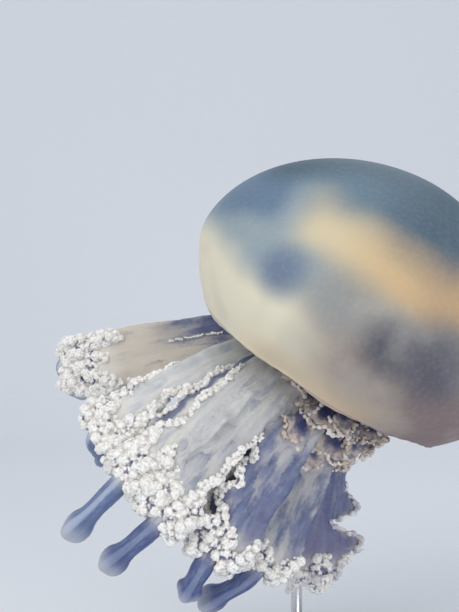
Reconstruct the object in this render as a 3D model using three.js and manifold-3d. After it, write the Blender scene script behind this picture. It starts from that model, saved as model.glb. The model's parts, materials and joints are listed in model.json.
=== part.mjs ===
// Barrel jellyfish (Rhizostoma pulmo), life size, swimming, held up by a plain display stand.
// Units are millimetres, +Z is up, and the origin is the centre of the underside of the stand's base.
//
// The animal is modelled in its own frame and then tilted as it swims: there the origin is the centre
// of the bell's rim, +Z points to the top of the bell, and azimuths turn from +X towards +Y.

import * as THREE from "three";
import { mergeVertices } from "three/addons/utils/BufferGeometryUtils.js";
import Module from "manifold-3d";

const wasm = await Module();
wasm.setup();

const TURN = 2 * Math.PI;
const QUARTER = Math.PI / 2;
const DEGREE = Math.PI / 180;

// ---------------------------------------------------------------- driving dimensions

const GAP = 0.4; // clear space left between neighbouring pieces
const CLEARANCE = 0.36; // how much a piece is swollen before it is cut out of its neighbour
const WELD = 1e-4; // points nearer than this are one point

const SWIM = { roll: 0.214, pitch: 0.538, height: 280 }; // tilt in radians, height of the rim's centre

const BELL = {
  radius: 150,
  height: 176,
  waist: 56, // height of the widest ring above the rim
  crownPower: 1.069, // the powers of sine and cosine that shape the outline: 1 is an ellipse
  skirtPower: 1.179,
  skirtDepth: 112.8, // depth to which the skirt's curve would reach if the rim didn't cut it
  segments: 32,
  crownRings: 8,
  skirtRings: 3,
  parting: 66, // height of the thin cut between the dome and the skirt
};

const HOLLOW = {
  rimRadius: 117,
  waistRadius: 122,
  waist: 34,
  rimAngle: -0.55, // radians, 0 is at the hollow's waist
  ceiling: 118,
  ceilingRadius: 60, // the flat of the ceiling, from which the manubrium hangs
  rings: 5,
};

const RIM = { lappets: 64, top: 6, notch: 1.6, tip: -1.2, thickness: 4 };

const MANUBRIUM = {
  columns: 24,
  pillars: 4,
  lobes: 8,
  // height, mean radius, depth of the four pillars, depth of the eight lobes
  rings: [
    [HOLLOW.ceiling - GAP, 55, 0.05, 0],
    [104, 52, 0.12, 0],
    [78, 48, 0.16, 0.01],
    [46, 45, 0.07, 0.03],
    [14, 44, 0.01, 0.06],
    [-8, 42, 0, 0.08],
    [-22, 36, 0, 0.08],
  ],
};

const ARM = {
  split: 0.47, // where the upper length ends, as a share of the whole arm
  upperRings: 4,
  lowerRings: 7,
  rootWidth: 17, // half the width over the two side wings
  rootKeel: 12,
  rounding: 0.8, // where the end starts to round off
  endShare: 0.45, // how much of the rounding is left over the square of the way past
  core: 6.2, // half the thickness of a wing near the arm's middle
  coreShare: 0.42, // where that thickness is, as a share of a wing
  edge: { root: 3, tip: 5.4 }, // half the thickness along a wing's edge
  lift: { root: 30, tip: 8 }, // degrees by which the side wings stand outwards
  ruffle: 3.6, // how far a wing's edge waves to either side
  ruffles: 6.3,
};

// Eight arms, in turn round the mouth. Each hangs along one curve, swept to one side by the swim: its
// root, two guide points and its tip. face is the way its outer side looks, width and keel are
// half-widths, fullest is where the wings are widest and club is the tip of the smooth end.
const ROOT = { radius: 32, height: 0 };
const ARMS = [
  {
    azimuth: 112.5,
    bend: [-60, 20, 3],
    sweep: [-120, 18, -70],
    tip: [-200, 34, -138],
    face: [-0.15, -1, 0.4],
    width: 28,
    fullest: 0.6,
    keel: 20,
    club: [-174, 76, -172],
    scapulet: 0.62,
  },
  {
    azimuth: 157.5,
    bend: [-60, -15, -15],
    sweep: [-100, -55, -62],
    tip: [-134, -78, -133],
    face: [-0.45, -0.85, 0.45],
    width: 31,
    fullest: 0.66,
    keel: 20,
    club: [-112, -30, -166],
    scapulet: 0.5,
  },
  {
    azimuth: 202.5,
    bend: [-44, -48, -10],
    sweep: [-76, -88, -56],
    tip: [-97, -108, -142],
    face: [-0.3, -0.9, 0.45],
    width: 31,
    fullest: 0.85,
    keel: 22,
    club: [-113, -120, -203],
    scapulet: 0.5,
  },
  {
    azimuth: 247.5,
    bend: [-26, -58, -20],
    sweep: [-40, -100, -88],
    tip: [-57, -125, -149],
    face: [-0.2, -0.95, 0.4],
    width: 30,
    fullest: 0.9,
    keel: 22,
    club: [-76, -135, -201],
    scapulet: 0.55,
  },
  {
    azimuth: 292.5,
    bend: [2, -50, -20],
    sweep: [-6, -92, -84],
    tip: [-9, -118, -157],
    face: [-0.1, -1, 0.3],
    width: 32,
    fullest: 0.85,
    keel: 22,
    club: [-8, -120, -194],
    scapulet: 0.9,
  },
  {
    azimuth: 337.5,
    bend: [16, -38, -22],
    sweep: [24, -66, -90],
    tip: [37, -98, -156],
    face: [0.1, -1, 0.25],
    width: 33,
    fullest: 0.75,
    keel: 22,
    club: [21, -90, -204],
    scapulet: 1,
  },
  {
    azimuth: 22.5,
    bend: [38, 6, -34],
    sweep: [60, -10, -100],
    tip: [95, -30, -152],
    face: [0.45, -0.85, 0.25],
    width: 34,
    fullest: 0.8,
    keel: 20,
    club: [92, 14, -190],
    scapulet: 1,
  },
  {
    azimuth: 67.5,
    bend: [20, 50, -30],
    sweep: [40, 64, -90],
    tip: [54, 56, -150],
    face: [0.3, 0.9, 0.3],
    width: 34,
    fullest: 0.7,
    keel: 20,
    club: [46, 58, -208],
    scapulet: 1,
  },
];

const CLUB = {
  rings: 6,
  sides: 8,
  radius: 9.6,
  swell: 2.6, // how much wider it grows towards its end
  fullest: 0.85,
  ridges: 3,
  ridge: 0.12,
  blunt: 0.62, // the end's share of the full radius
  straight: 12, // how far it first runs on along the arm
};

const SCAPULET = {
  fork: 11.25, // degrees from the arm's own azimuth
  thickness: 6.5,
  root: 38,
  reach: 46,
  middle: -24,
  drop: 40,
  fullness: 0.7,
  lobe: 0.06,
  steps: 8,
};

const STAND = {
  radius: 125,
  thickness: 16,
  bevel: 2,
  segments: 40,
  rodRadius: 5,
  rodSides: 16,
  rodAt: [-22, 21],
  rodTop: 300,
  rodClearance: 2,
  collarRadius: 13,
  collarHeight: 12,
  collarBevel: 2,
};

// ---------------------------------------------------------------- materials

const material = (name, color, roughness, metalness = 0) =>
  Object.assign(new THREE.MeshStandardMaterial({ color, roughness, metalness }), { name });

const BELL_JELLY = material("bell_jelly", 0xcfc4ae, 0.32);
const RIM_JELLY = material("rim_jelly", 0x6f5f8c, 0.4);
const ARM_JELLY = material("arm_jelly", 0xcfcfca, 0.4);
const FRILL = material("frill", 0xe6e2da, 0.6);
const CLUB_JELLY = material("club_jelly", 0x9fabc2, 0.3);
const STEEL = material("steel", 0xb9bcc0, 0.3, 1);

// ---------------------------------------------------------------- solids

/** A closed geometry as a solid that can be joined and cut. */
function solidFrom(geometry) {
  const bare = geometry.clone();
  bare.deleteAttribute("normal");
  bare.deleteAttribute("uv");
  const merged = mergeVertices(bare, WELD);
  return new wasm.Manifold(
    new wasm.Mesh({
      numProp: 3,
      vertProperties: merged.attributes.position.array,
      triVerts: new Uint32Array(merged.index.array),
    }),
  );
}

/** The largest single body of a solid, as a geometry with flat faces. */
function geometryFrom(solid) {
  const bodies = solid.decompose();
  const largest = bodies.reduce((best, body) => (body.volume() > best.volume() ? body : best));
  const { vertProperties, triVerts } = largest.getMesh();
  const geometry = new THREE.BufferGeometry();
  geometry.setAttribute("position", new THREE.BufferAttribute(new Float32Array(vertProperties), 3));
  geometry.setIndex(new THREE.BufferAttribute(new Uint32Array(triVerts), 1));
  const faceted = geometry.toNonIndexed();
  faceted.computeVertexNormals();
  return faceted;
}

/** A closed body through rings of points, each ring turning anticlockwise about the way onwards. */
function loft(rings) {
  const count = rings[0].length;
  const points = rings.flat();
  const faces = [];
  rings.slice(1).forEach((_, i) => {
    for (let j = 0; j < count; j++) {
      const near = i * count;
      const far = near + count;
      const next = (j + 1) % count;
      faces.push(near + j, near + next, far + next, near + j, far + next, far + j);
    }
  });
  for (const [ring, offset, forward] of [
    [rings[0], 0, false],
    [rings.at(-1), (rings.length - 1) * count, true],
  ]) {
    const middle = points.length;
    points.push(centreOf(ring));
    for (let j = 0; j < count; j++) {
      const here = offset + j;
      const next = offset + ((j + 1) % count);
      faces.push(middle, forward ? here : next, forward ? next : here);
    }
  }
  const geometry = new THREE.BufferGeometry().setFromPoints(points);
  geometry.setIndex(faces);
  return geometry;
}

const centreOf = (ring) =>
  ring.reduce((sum, point) => sum.add(point), new THREE.Vector3()).divideScalar(ring.length);

const vector = (values) => new THREE.Vector3(...values);
const radial = (azimuth) => new THREE.Vector3(Math.cos(azimuth), Math.sin(azimuth), 0);
const mix = THREE.MathUtils.lerp;
const ease = (share) => THREE.MathUtils.smoothstep(share, 0, 1);
const steps = (count) => Array.from({ length: count + 1 }, (_, i) => i / count);

/** A solid of revolution about Z from [radius, height] pairs that start and end on the axis. */
function turned(profile, segments) {
  const points = profile.map(([radius, height]) => new THREE.Vector2(radius, height));
  return new THREE.LatheGeometry(points, segments).rotateX(QUARTER);
}

// ---------------------------------------------------------------- bell

/** The bell's outer radius and height at an angle: 90 degrees is the top, 0 the widest ring. */
function bellOutline(angle) {
  const power = angle > 0 ? BELL.crownPower : BELL.skirtPower;
  const reach = angle > 0 ? BELL.height - BELL.waist : -BELL.skirtDepth;
  const sine = Math.abs(Math.sin(angle)) ** power;
  return [BELL.radius * Math.cos(angle) ** power, BELL.waist + reach * sine];
}

/** The angle at which the skirt's curve comes down to a height. */
const skirtAngle = (height) =>
  -Math.asin(((BELL.waist - height) / BELL.skirtDepth) ** (1 / BELL.skirtPower));

/** The hollow's radius and height, from the rim, share 0, to the edge of the ceiling, share 1. */
function hollowOutline(share) {
  const ceilingAngle = Math.acos(HOLLOW.ceilingRadius / HOLLOW.waistRadius);
  const angle = mix(HOLLOW.rimAngle, ceilingAngle, share);
  if (angle > 0) {
    const up = Math.sin(angle) / Math.sin(ceilingAngle);
    return [HOLLOW.waistRadius * Math.cos(angle), mix(HOLLOW.waist, HOLLOW.ceiling, up)];
  }
  const down = Math.sin(angle) / Math.sin(HOLLOW.rimAngle);
  const radius = mix(HOLLOW.waistRadius, HOLLOW.rimRadius, down ** 2);
  return [radius, mix(HOLLOW.waist, RIM.top + GAP, down)];
}

/** The bell in one piece, before it is parted. */
function wholeBellGeometry() {
  const crown = steps(BELL.crownRings).map((share) => bellOutline((1 - share) * QUARTER));
  const lowest = skirtAngle(RIM.top + GAP);
  const skirt = steps(BELL.skirtRings).map((share) => bellOutline(share * lowest));
  const hollow = steps(HOLLOW.rings).map(hollowOutline);
  const top = [0, BELL.height];
  const profile = [top, ...crown.slice(1), ...skirt.slice(1), ...hollow, [0, HOLLOW.ceiling]];
  return turned(profile.reverse(), BELL.segments);
}

/** The dome above the parting, or the ring of the skirt below it. */
function bellSolid(above) {
  const middle = BELL.parting + (above ? 1 : -1) * ((BELL.height + GAP) / 2);
  const slab = new THREE.CylinderGeometry(BELL.height, BELL.height, BELL.height, BELL.segments)
    .rotateX(QUARTER)
    .translate(0, 0, middle);
  return solidFrom(wholeBellGeometry()).intersect(solidFrom(slab));
}

/** A quarter of the skirt, with its middle at an azimuth. */
function skirtQuarterGeometry(azimuth) {
  const size = BELL.height;
  const corner = new THREE.BoxGeometry(size, size, 2 * size)
    .translate((size + GAP) / 2, (size + GAP) / 2, 0)
    .rotateZ(azimuth - QUARTER / 2);
  return geometryFrom(bellSolid(false).intersect(solidFrom(corner)));
}

/** The rim: a thin ring whose lower edge is cut into small round lappets. */
function rimGeometry() {
  const columns = RIM.lappets * 2;
  const outer = bellOutline(skirtAngle(RIM.top))[0];
  const low = bellOutline(skirtAngle(0))[0];
  const rings = steps(columns).slice(0, -1).map((share, i) => {
    const tip = i % 2 ? RIM.notch : RIM.tip;
    return [
      [low, tip],
      [outer - RIM.thickness, RIM.top],
      [outer, RIM.top],
    ].map(([radius, height]) => radial(share * TURN).multiplyScalar(radius).setZ(height));
  });
  return closedLoop(rings);
}

/** A body through rings of points whose last ring joins the first again. */
function closedLoop(rings) {
  const count = rings[0].length;
  const faces = [];
  rings.forEach((_, i) => {
    const near = i * count;
    const far = ((i + 1) % rings.length) * count;
    for (let j = 0; j < count; j++) {
      const next = (j + 1) % count;
      faces.push(near + j, near + next, far + next, near + j, far + next, far + j);
    }
  });
  const geometry = new THREE.BufferGeometry().setFromPoints(rings.flat());
  geometry.setIndex(faces);
  return geometry;
}

// ---------------------------------------------------------------- manubrium

/** The column under the bell: four pillars at its top run into eight lobes, one for each arm. */
function manubriumGeometry(swell = 0) {
  const rings = MANUBRIUM.rings.map(([height, mean, pillars, lobes], level) =>
    steps(MANUBRIUM.columns).slice(0, -1).map((share) => {
      const azimuth = -share * TURN;
      const fourfold = pillars * Math.cos(MANUBRIUM.pillars * azimuth);
      const eightfold = lobes * Math.cos(MANUBRIUM.lobes * azimuth + Math.PI);
      const radius = mean * (1 + fourfold + eightfold) + swell;
      const below = level === MANUBRIUM.rings.length - 1 ? swell : 0;
      return radial(azimuth).multiplyScalar(radius).setZ(height - below);
    }),
  );
  return loft(rings);
}

// ---------------------------------------------------------------- arms

function armCurve(arm) {
  const root = radial(arm.azimuth * DEGREE).multiplyScalar(ROOT.radius).setZ(ROOT.height);
  return new THREE.CubicBezierCurve3(root, vector(arm.bend), vector(arm.sweep), vector(arm.tip));
}

/** Where the arm is at a share of its length, and which ways its outer face and side point. */
function armFrame(arm, curve, share) {
  const centre = curve.getPoint(share);
  return { centre, ...crossAxes(curve.getTangent(share), vector(arm.face)) };
}

/** Three axes at right angles: the way along, the outward way nearest the one given, and the side. */
function crossAxes(along, towards) {
  const outward = towards.clone().addScaledVector(along, -towards.dot(along)).normalize();
  return { along, outward, side: new THREE.Vector3().crossVectors(along, outward) };
}

/** The three-winged section of an arm: two side wings that stand outwards and a keel inwards. */
function armSection(arm, curve, share, swell) {
  const frame = armFrame(arm, curve, share);
  const grown = ease(share / arm.fullest);
  const past = Math.max(0, (share - ARM.rounding) / (1 - ARM.rounding));
  const rounding = Math.sqrt(1 - (1 - ARM.endShare) * past ** 2);
  const side = mix(ARM.rootWidth, arm.width, grown) * rounding;
  const keel = mix(ARM.rootKeel, arm.keel, grown) * rounding;
  const wave = Math.sin(share * ARM.ruffles * TURN) * grown;
  const lift = mix(ARM.lift.root, ARM.lift.tip, grown) * DEGREE;
  const edge = mix(ARM.edge.root, ARM.edge.tip, grown) + swell;
  const wings = [
    { angle: QUARTER - lift, length: side + wave, shift: wave * ARM.ruffle },
    { angle: Math.PI, length: keel - wave, shift: wave * ARM.ruffle },
    { angle: lift - QUARTER, length: side - wave, shift: -wave * ARM.ruffle },
  ];
  return wings.flatMap(({ angle, length, shift }) => {
    const out = frame.outward.clone().multiplyScalar(Math.cos(angle));
    out.addScaledVector(frame.side, Math.sin(angle));
    const across = new THREE.Vector3().crossVectors(frame.along, out);
    const inner = ARM.coreShare * length;
    const outer = length + swell;
    return [
      [inner, -ARM.core - swell],
      [outer, shift - edge],
      [outer, shift + edge],
      [inner, ARM.core + swell],
    ].map(([away, aside]) =>
      frame.centre.clone().addScaledVector(out, away).addScaledVector(across, aside),
    );
  });
}

/** One length of an arm, between two shares of its curve. */
function armLength(arm, from, to, rings, swell = 0) {
  const curve = armCurve(arm);
  const sections = steps(rings).map((share) => armSection(arm, curve, mix(from, to, share), swell));
  const beyond = curve.getTangent(to).multiplyScalar(swell);
  sections.at(-1).forEach((point) => point.add(beyond));
  return loft(sections);
}

/** The smooth club at the end of an arm: a blunt, faintly three-ridged finger. */
function clubGeometry(arm, swell = 0) {
  const onward = armCurve(arm).getTangent(1);
  const start = vector(arm.tip).addScaledVector(onward, GAP - swell);
  const guide = start.clone().addScaledVector(onward, CLUB.straight);
  const curve = new THREE.QuadraticBezierCurve3(start, guide, vector(arm.club));
  const rings = steps(CLUB.rings).map((share) => {
    const centre = curve.getPoint(share);
    const { outward, side } = crossAxes(curve.getTangent(share), vector(arm.face));
    const end = share === 1 ? CLUB.blunt : 1;
    const full = (CLUB.radius + CLUB.swell * ease(share / CLUB.fullest)) * end;
    return steps(CLUB.sides).slice(0, -1).map((turn) => {
      const angle = turn * TURN;
      const radius = full * (1 + CLUB.ridge * Math.cos(CLUB.ridges * angle)) + swell;
      return centre
        .clone()
        .addScaledVector(outward, radius * Math.cos(angle))
        .addScaledVector(side, radius * Math.sin(angle));
    });
  });
  return loft(rings);
}

// ---------------------------------------------------------------- scapulets

/** A scapulet: an upright frilled lobe that stands out from the root of an arm. */
function scapuletGeometry(azimuth, size) {
  const outline = new THREE.Shape(
    steps(SCAPULET.steps).map((share, i) => {
      const angle = QUARTER - share * Math.PI;
      const lobe = size * (1 + SCAPULET.lobe * (i % 2 ? 1 : -1));
      const reach = SCAPULET.reach * Math.abs(Math.cos(angle)) ** SCAPULET.fullness;
      const height = size * SCAPULET.middle + lobe * SCAPULET.drop * Math.sin(angle);
      return new THREE.Vector2(SCAPULET.root + lobe * reach, height);
    }),
  );
  const options = { depth: SCAPULET.thickness, bevelEnabled: false };
  return new THREE.ExtrudeGeometry(outline, options)
    .translate(0, 0, -SCAPULET.thickness / 2)
    .rotateX(QUARTER)
    .rotateZ(azimuth * DEGREE);
}

// ---------------------------------------------------------------- stand

function baseGeometry() {
  const { radius, thickness, bevel } = STAND;
  const profile = [
    [0, 0],
    [radius - bevel, 0],
    [radius, bevel],
    [radius, thickness - bevel],
    [radius - bevel, thickness],
    [0, thickness],
  ];
  return turned(profile, STAND.segments);
}

function rodGeometry(swell = 0) {
  const radius = STAND.rodRadius + swell;
  const bottom = STAND.thickness + GAP;
  const length = STAND.rodTop + swell - bottom;
  return new THREE.CylinderGeometry(radius, radius, length, STAND.rodSides)
    .rotateX(QUARTER)
    .translate(...STAND.rodAt, bottom + length / 2);
}

function collarGeometry() {
  const inner = STAND.rodRadius + GAP;
  const low = STAND.thickness + GAP;
  const high = low + STAND.collarHeight;
  const profile = [
    [inner, low],
    [STAND.collarRadius, low],
    [STAND.collarRadius, high - STAND.collarBevel],
    [STAND.collarRadius - STAND.collarBevel, high],
    [inner, high],
    [inner, low],
  ];
  return turned(profile, STAND.rodSides).translate(...STAND.rodAt, 0);
}

// ---------------------------------------------------------------- assembly

const mesh = (name, geometry, finish) => {
  const made = new THREE.Mesh(geometry, finish);
  made.name = name;
  return made;
};

const group = new THREE.Group();
const animal = new THREE.Group();
animal.rotation.set(SWIM.roll, SWIM.pitch, 0, "YXZ");
animal.position.set(0, 0, SWIM.height);
group.add(animal);
group.updateMatrixWorld(true);

const toAnimal = animal.matrixWorld.clone().invert();

/** The space the rod takes up inside the animal, in the animal's frame. */
const rodSpace = (swell) => solidFrom(rodGeometry(swell).applyMatrix4(toAnimal));

group.add(mesh("stand_base", baseGeometry(), STEEL));
group.add(mesh("stand_collar", collarGeometry(), STEEL));
group.add(mesh("stand_rod", rodGeometry(), STEEL));

animal.add(mesh("bell_dome", geometryFrom(bellSolid(true)), BELL_JELLY));
["right", "back", "left", "front"].forEach((side, i) => {
  animal.add(mesh(`bell_skirt_${side}`, skirtQuarterGeometry(i * QUARTER), BELL_JELLY));
});
animal.add(mesh("bell_margin", geometryFrom(solidFrom(rimGeometry())), RIM_JELLY));

const column = solidFrom(manubriumGeometry()).subtract(rodSpace(GAP));
animal.add(mesh("manubrium", geometryFrom(column), BELL_JELLY));

let taken = solidFrom(manubriumGeometry(CLEARANCE)).add(rodSpace(STAND.rodClearance));
ARMS.forEach((arm, i) => {
  const number = i + 1;
  const upper = solidFrom(armLength(arm, 0, ARM.split, ARM.upperRings)).subtract(taken);
  const start = ARM.split + GAP / armCurve(arm).getLength();
  const lower = solidFrom(armLength(arm, start, 1, ARM.lowerRings)).subtract(taken);
  const swollenUpper = solidFrom(armLength(arm, 0, start, ARM.upperRings, CLEARANCE));
  const swollenLower = solidFrom(armLength(arm, start, 1, ARM.lowerRings, CLEARANCE));
  const club = solidFrom(clubGeometry(arm)).subtract(taken).subtract(swollenLower);
  animal.add(mesh("arm_" + number + "_upper", geometryFrom(upper), ARM_JELLY));
  animal.add(mesh("arm_" + number + "_lower", geometryFrom(lower), FRILL));
  animal.add(mesh("arm_" + number + "_club", geometryFrom(club), CLUB_JELLY));
  taken = taken.add(swollenUpper).add(swollenLower).add(solidFrom(clubGeometry(arm, CLEARANCE)));
});

const hands = { a: -1, b: 1 };
ARMS.forEach((arm, i) => {
  for (const [hand, sign] of Object.entries(hands)) {
    const azimuth = arm.azimuth + sign * SCAPULET.fork;
    const fin = solidFrom(scapuletGeometry(azimuth, arm.scapulet)).subtract(taken);
    animal.add(mesh("scapulet_" + (i + 1) + hand, geometryFrom(fin), FRILL));
  }
});

export default group;
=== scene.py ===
"""Looks of the life-size barrel jellyfish on its display stand.

The animal is modelled in millimetres in its own frame, as the part is: the origin is the centre of the
bell's rim, +Z points to the top of the bell, and azimuths turn from +X towards +Y. Each piece is scaled to
metres when it is made, and tilted as it swims when it is dressed. The flesh is one skin, and the frills lie
over it.
"""

import json
import math

import bmesh
import bpy
import numpy as np
from mathutils import Euler, Matrix, Vector, kdtree

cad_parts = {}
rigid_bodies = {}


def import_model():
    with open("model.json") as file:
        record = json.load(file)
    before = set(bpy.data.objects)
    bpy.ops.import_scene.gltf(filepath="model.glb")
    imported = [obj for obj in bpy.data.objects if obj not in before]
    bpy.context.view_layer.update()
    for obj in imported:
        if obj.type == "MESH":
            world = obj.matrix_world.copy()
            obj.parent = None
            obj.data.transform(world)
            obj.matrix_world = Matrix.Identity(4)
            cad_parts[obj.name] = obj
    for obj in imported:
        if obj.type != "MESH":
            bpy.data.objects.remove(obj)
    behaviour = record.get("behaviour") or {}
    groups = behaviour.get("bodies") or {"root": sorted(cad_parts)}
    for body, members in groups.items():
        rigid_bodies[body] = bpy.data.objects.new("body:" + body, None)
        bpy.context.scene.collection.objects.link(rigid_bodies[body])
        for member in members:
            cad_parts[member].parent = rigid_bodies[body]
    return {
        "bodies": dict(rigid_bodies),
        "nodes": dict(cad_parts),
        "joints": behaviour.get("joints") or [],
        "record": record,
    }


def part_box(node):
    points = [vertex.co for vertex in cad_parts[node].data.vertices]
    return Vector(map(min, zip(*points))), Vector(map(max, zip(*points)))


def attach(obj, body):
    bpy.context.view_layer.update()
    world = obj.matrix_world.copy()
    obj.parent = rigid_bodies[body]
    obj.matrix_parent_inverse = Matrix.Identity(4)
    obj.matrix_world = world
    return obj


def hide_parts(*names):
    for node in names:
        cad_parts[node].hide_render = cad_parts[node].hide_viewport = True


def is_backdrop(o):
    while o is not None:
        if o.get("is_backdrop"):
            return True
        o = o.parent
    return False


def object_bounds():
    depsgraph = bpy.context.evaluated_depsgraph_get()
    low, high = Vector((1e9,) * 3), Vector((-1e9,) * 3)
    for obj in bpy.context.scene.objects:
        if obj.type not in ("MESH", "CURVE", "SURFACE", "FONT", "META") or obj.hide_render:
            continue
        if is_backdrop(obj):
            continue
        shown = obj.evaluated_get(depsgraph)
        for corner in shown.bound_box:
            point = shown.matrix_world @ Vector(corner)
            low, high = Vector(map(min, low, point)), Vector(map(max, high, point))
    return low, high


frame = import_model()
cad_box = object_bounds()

MM = 0.001
TURN = 2 * math.pi
rng = np.random.default_rng(7)

# ------------------------------------------------------------------ driving dimensions, in millimetres

SWIM = {"roll": 0.214, "pitch": 0.538, "height": 280}
SWUM = Matrix.Translation((0, 0, SWIM["height"] * MM)) @ (
    Euler((SWIM["roll"], SWIM["pitch"], 0), "XYZ").to_matrix().to_4x4()
)

BELL = {
    "radius": 150, "height": 176, "waist": 56,
    "crown_power": 1.069, "skirt_power": 1.179, "skirt_depth": 112.8,
}
HOLLOW = {
    "rim": 117, "rim_height": 7, "rim_angle": -0.55, "waist_radius": 122, "waist": 34,
    "ceiling": 118, "ceiling_radius": 60,
}
CEILING_ANGLE = math.acos(HOLLOW["ceiling_radius"] / HOLLOW["waist_radius"])
RIM = {
    "height": 0.8, "lip": 2.6, "droop": 0.6, "sag": 1.4, "lappets": 64, "roundness": 0.7, "notch": 0.6,
    "reach": 7, "furrow": 0.2, "furrow_at": 4, "furrow_reach": 14, "sway_reach": 46, "sway": 1.5, "dip": 1.1,
}
# How many columns a ring of the bell has where its radius is above each of these, so that none is a sliver.
COLUMNS = ((58, 320), (28, 160), (13, 80), (5, 40), (0, 20))

# height, mean radius, depth of the four pillars, depth of the eight lobes
MANUBRIUM = np.array([
    [124, 58, 0.03, 0], [117, 56, 0.05, 0], [104, 52, 0.12, 0], [78, 48, 0.16, 0.01],
    [46, 45, 0.07, 0.03], [14, 44, 0.01, 0.06], [-8, 42, 0, 0.08], [-24, 33, 0, 0.08],
])

ROOT_RADIUS = 32
WING = {
    "root_keel": 12, "rounding": 0.8, "end_share": 0.45,
    "core": 5.6, "edge": 1.9, "lift_root": 30, "lift_tip": 8, "wave": 4.2, "waves": 6.3,
    "rings_at": (0.22, 0.4, 0.6, 0.8, 0.93, 1.0),
}

# Eight arms in turn round the mouth: azimuth, the curve's two guide points and its tip, and the way the
# outer side faces. A wing's width goes from a root to a tip width by a power of the share along the arm;
# left and right are (root, tip, power), and keel is its tip width and how far it leans to the right, in
# radians. lobes are (wing, share, width added, half-length). Then the tip of the club and the scapulets'
# size. starts holds where the frills start on the left wing, the keel and the right wing, lace how large
# their knobs are there, and covered where they cover the whole face. ripple is how deeply the edges are
# scalloped, glass how much of the arm is glassy, tan how brown it is, veil how glassy it is beside the
# bell, and fringe how far knobs hang past its end.
ARM_FIELDS = (
    "azimuth", "bend", "sweep", "tip", "face", "left", "right", "keel", "lobes", "club", "scapulet",
    "starts", "lace", "covered", "ripple", "glass", "tan", "veil", "fringe",
)
ARMS = [dict(zip(ARM_FIELDS, row)) for row in [
    (112.5, (-60, 20, 3), (-120, 18, -70), (-200, 34, -138), (-0.15, -1, 0.4), (22, 38, 0.6), (17, 28, 0.6),
     (20, 0), (), (-174, 76, -172), 0.62, (0.78, 0.6, 0.87), (0.6, 0.7, 0.7), 0.84, 0.03, 0.0, 0.9, 1.0, 0),
    (157.5, (-60, -15, -15), (-100, -55, -62), (-134, -78, -133), (-0.45, -0.85, 0.45), (14, 31, 4),
     (15, 31, 3), (20, 0), ((0, 0.73, -11, 0.06),), (-112, -30, -166), 0.5, (0.36, 0.4, 0.62),
     (0.62, 0.7, 0.42), 0.88, 0.04, 0.0, 0.0, 0.0, 0),
    (202.5, (-44, -48, -10), (-76, -88, -56), (-97, -108, -142), (-0.3, -0.9, 0.45), (17, 31, 1),
     (10, 26, 4), (36, 1.0), ((2, 0.55, -2, 0.05), (2, 0.72, -10, 0.06)), (-113, -120, -203), 0.5,
     (0.84, 0.4, 0.4), (0.6, 0.7, 0.66), 0.85, 0.04, 0.1, 0.1, 0.0, 0),
    (247.5, (-26, -58, -20), (-40, -100, -88), (-57, -125, -149), (-0.2, -0.95, 0.4), (12, 28, 3),
     (17, 30, 1), (22, 0), ((0, 0.68, -4, 0.035), (0, 0.8, -7, 0.04)), (-76, -135, -201), 0.55,
     (0.52, 0.4, 0.88), (0.66, 0.7, 0.6), 0.87, 0.04, 0.28, 0.15, 0.0, 0),
    (292.5, (2, -50, -20), (-6, -92, -84), (-9, -118, -157), (-0.1, -1, 0.3), (17, 32, 1), (16, 30, 1.1),
     (40, 1.0), ((2, 0.63, -5, 0.03), (2, 0.73, -9, 0.035), (2, 0.85, -11, 0.04)), (-8, -120, -194), 1.0,
     (0.9, 0.4, 0.52), (0.6, 0.7, 0.66), 0.9, 0.05, 0.7, 0.15, 0.0, 0),
    (337.5, (16, -38, -22), (24, -66, -90), (31, -98, -153), (0.1, -1, 0.25), (17, 34, 1), (17, 32, 1),
     (22, 0), (), (8, -98, -206), 0.95, (0.9, 0.4, 0.6), (0.6, 0.7, 0.5), 0.93, 0.06, 0.46, 0.2, 0.0, 0),
    (22.5, (38, 6, -34), (60, -10, -100), (91, -32, -159), (0.45, -0.85, 0.25), (17, 33, 0.8), (17, 46, 3),
     (20, 0), ((0, 0.58, -11, 0.09), (0, 0.71, 8, 0.035), (0, 0.79, -17, 0.035), (0, 0.86, 15, 0.04)),
     (84, 20, -180), 1.0, (0.6, 0.4, 0.9), (0.6, 0.7, 0.6), 0.95, 0.04, 1.0, 0.5, 0.0, 14),
    (67.5, (20, 50, -30), (40, 64, -90), (54, 56, -150), (0.3, 0.9, 0.3), (17, 34, 0.8), (17, 34, 0.8),
     (20, 0), (), (46, 58, -208), 1.0, (0.4, 0.4, 0.4), (0.7, 0.7, 0.7), 0.86, 0.05, 0.4, 0.3, 0.0, 0),
]]

CLUB = {
    "radius": 8.6, "neck": 1.0, "neck_at": 0.62, "swell": 2.2, "knob_at": 0.72, "end": 0.14,
    "ridge": 0.08, "tip_ridge": 0.2, "straight": 12, "sunk": 6,
}
SCAPULET = {
    "fork": 11.25, "root": 38, "reach": 36, "middle": -25, "drop": 43, "fullness": 0.7,
    "frill": 3.5, "thickness": 3.0, "curl": 6, "lean": 5, "lobes": 6.2, "lobe_depth": 0.2,
}
# The petals of a scapulet hang from its sheet in tiers. Each row is the petal's root outwards, upwards and
# aside, its hang below level in degrees and its length.
PETAL = {
    "tiers": ((58, 2, 5, 30, 21), (62, -16, -6, 48, 24), (60, -33, 6, 65, 26), (54, -50, -5, 80, 25)),
    "spread": 1.2, "stem": 7, "turn": 0.35, "cup": 5, "ruffle": 2.2, "folds": 5, "notch": 0.07,
    "thickness": 2.8, "frill": 1.8, "knob": 2.2, "crowd": 30,
}
# Knobs are lumpy balls of a few sizes, all with granules of about one size. full is the radius of the
# largest along an edge, spacing how closely they are set, and bodies of fewer points than speck are removed.
KNOB = {
    "sizes": (1.8, 2.7, 4.0, 5.4), "kinds": 3, "granule": 1.5, "height": 0.8, "full": 4.4, "spacing": 0.8,
    "recess": 1.5, "speck": 40,
}
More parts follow.
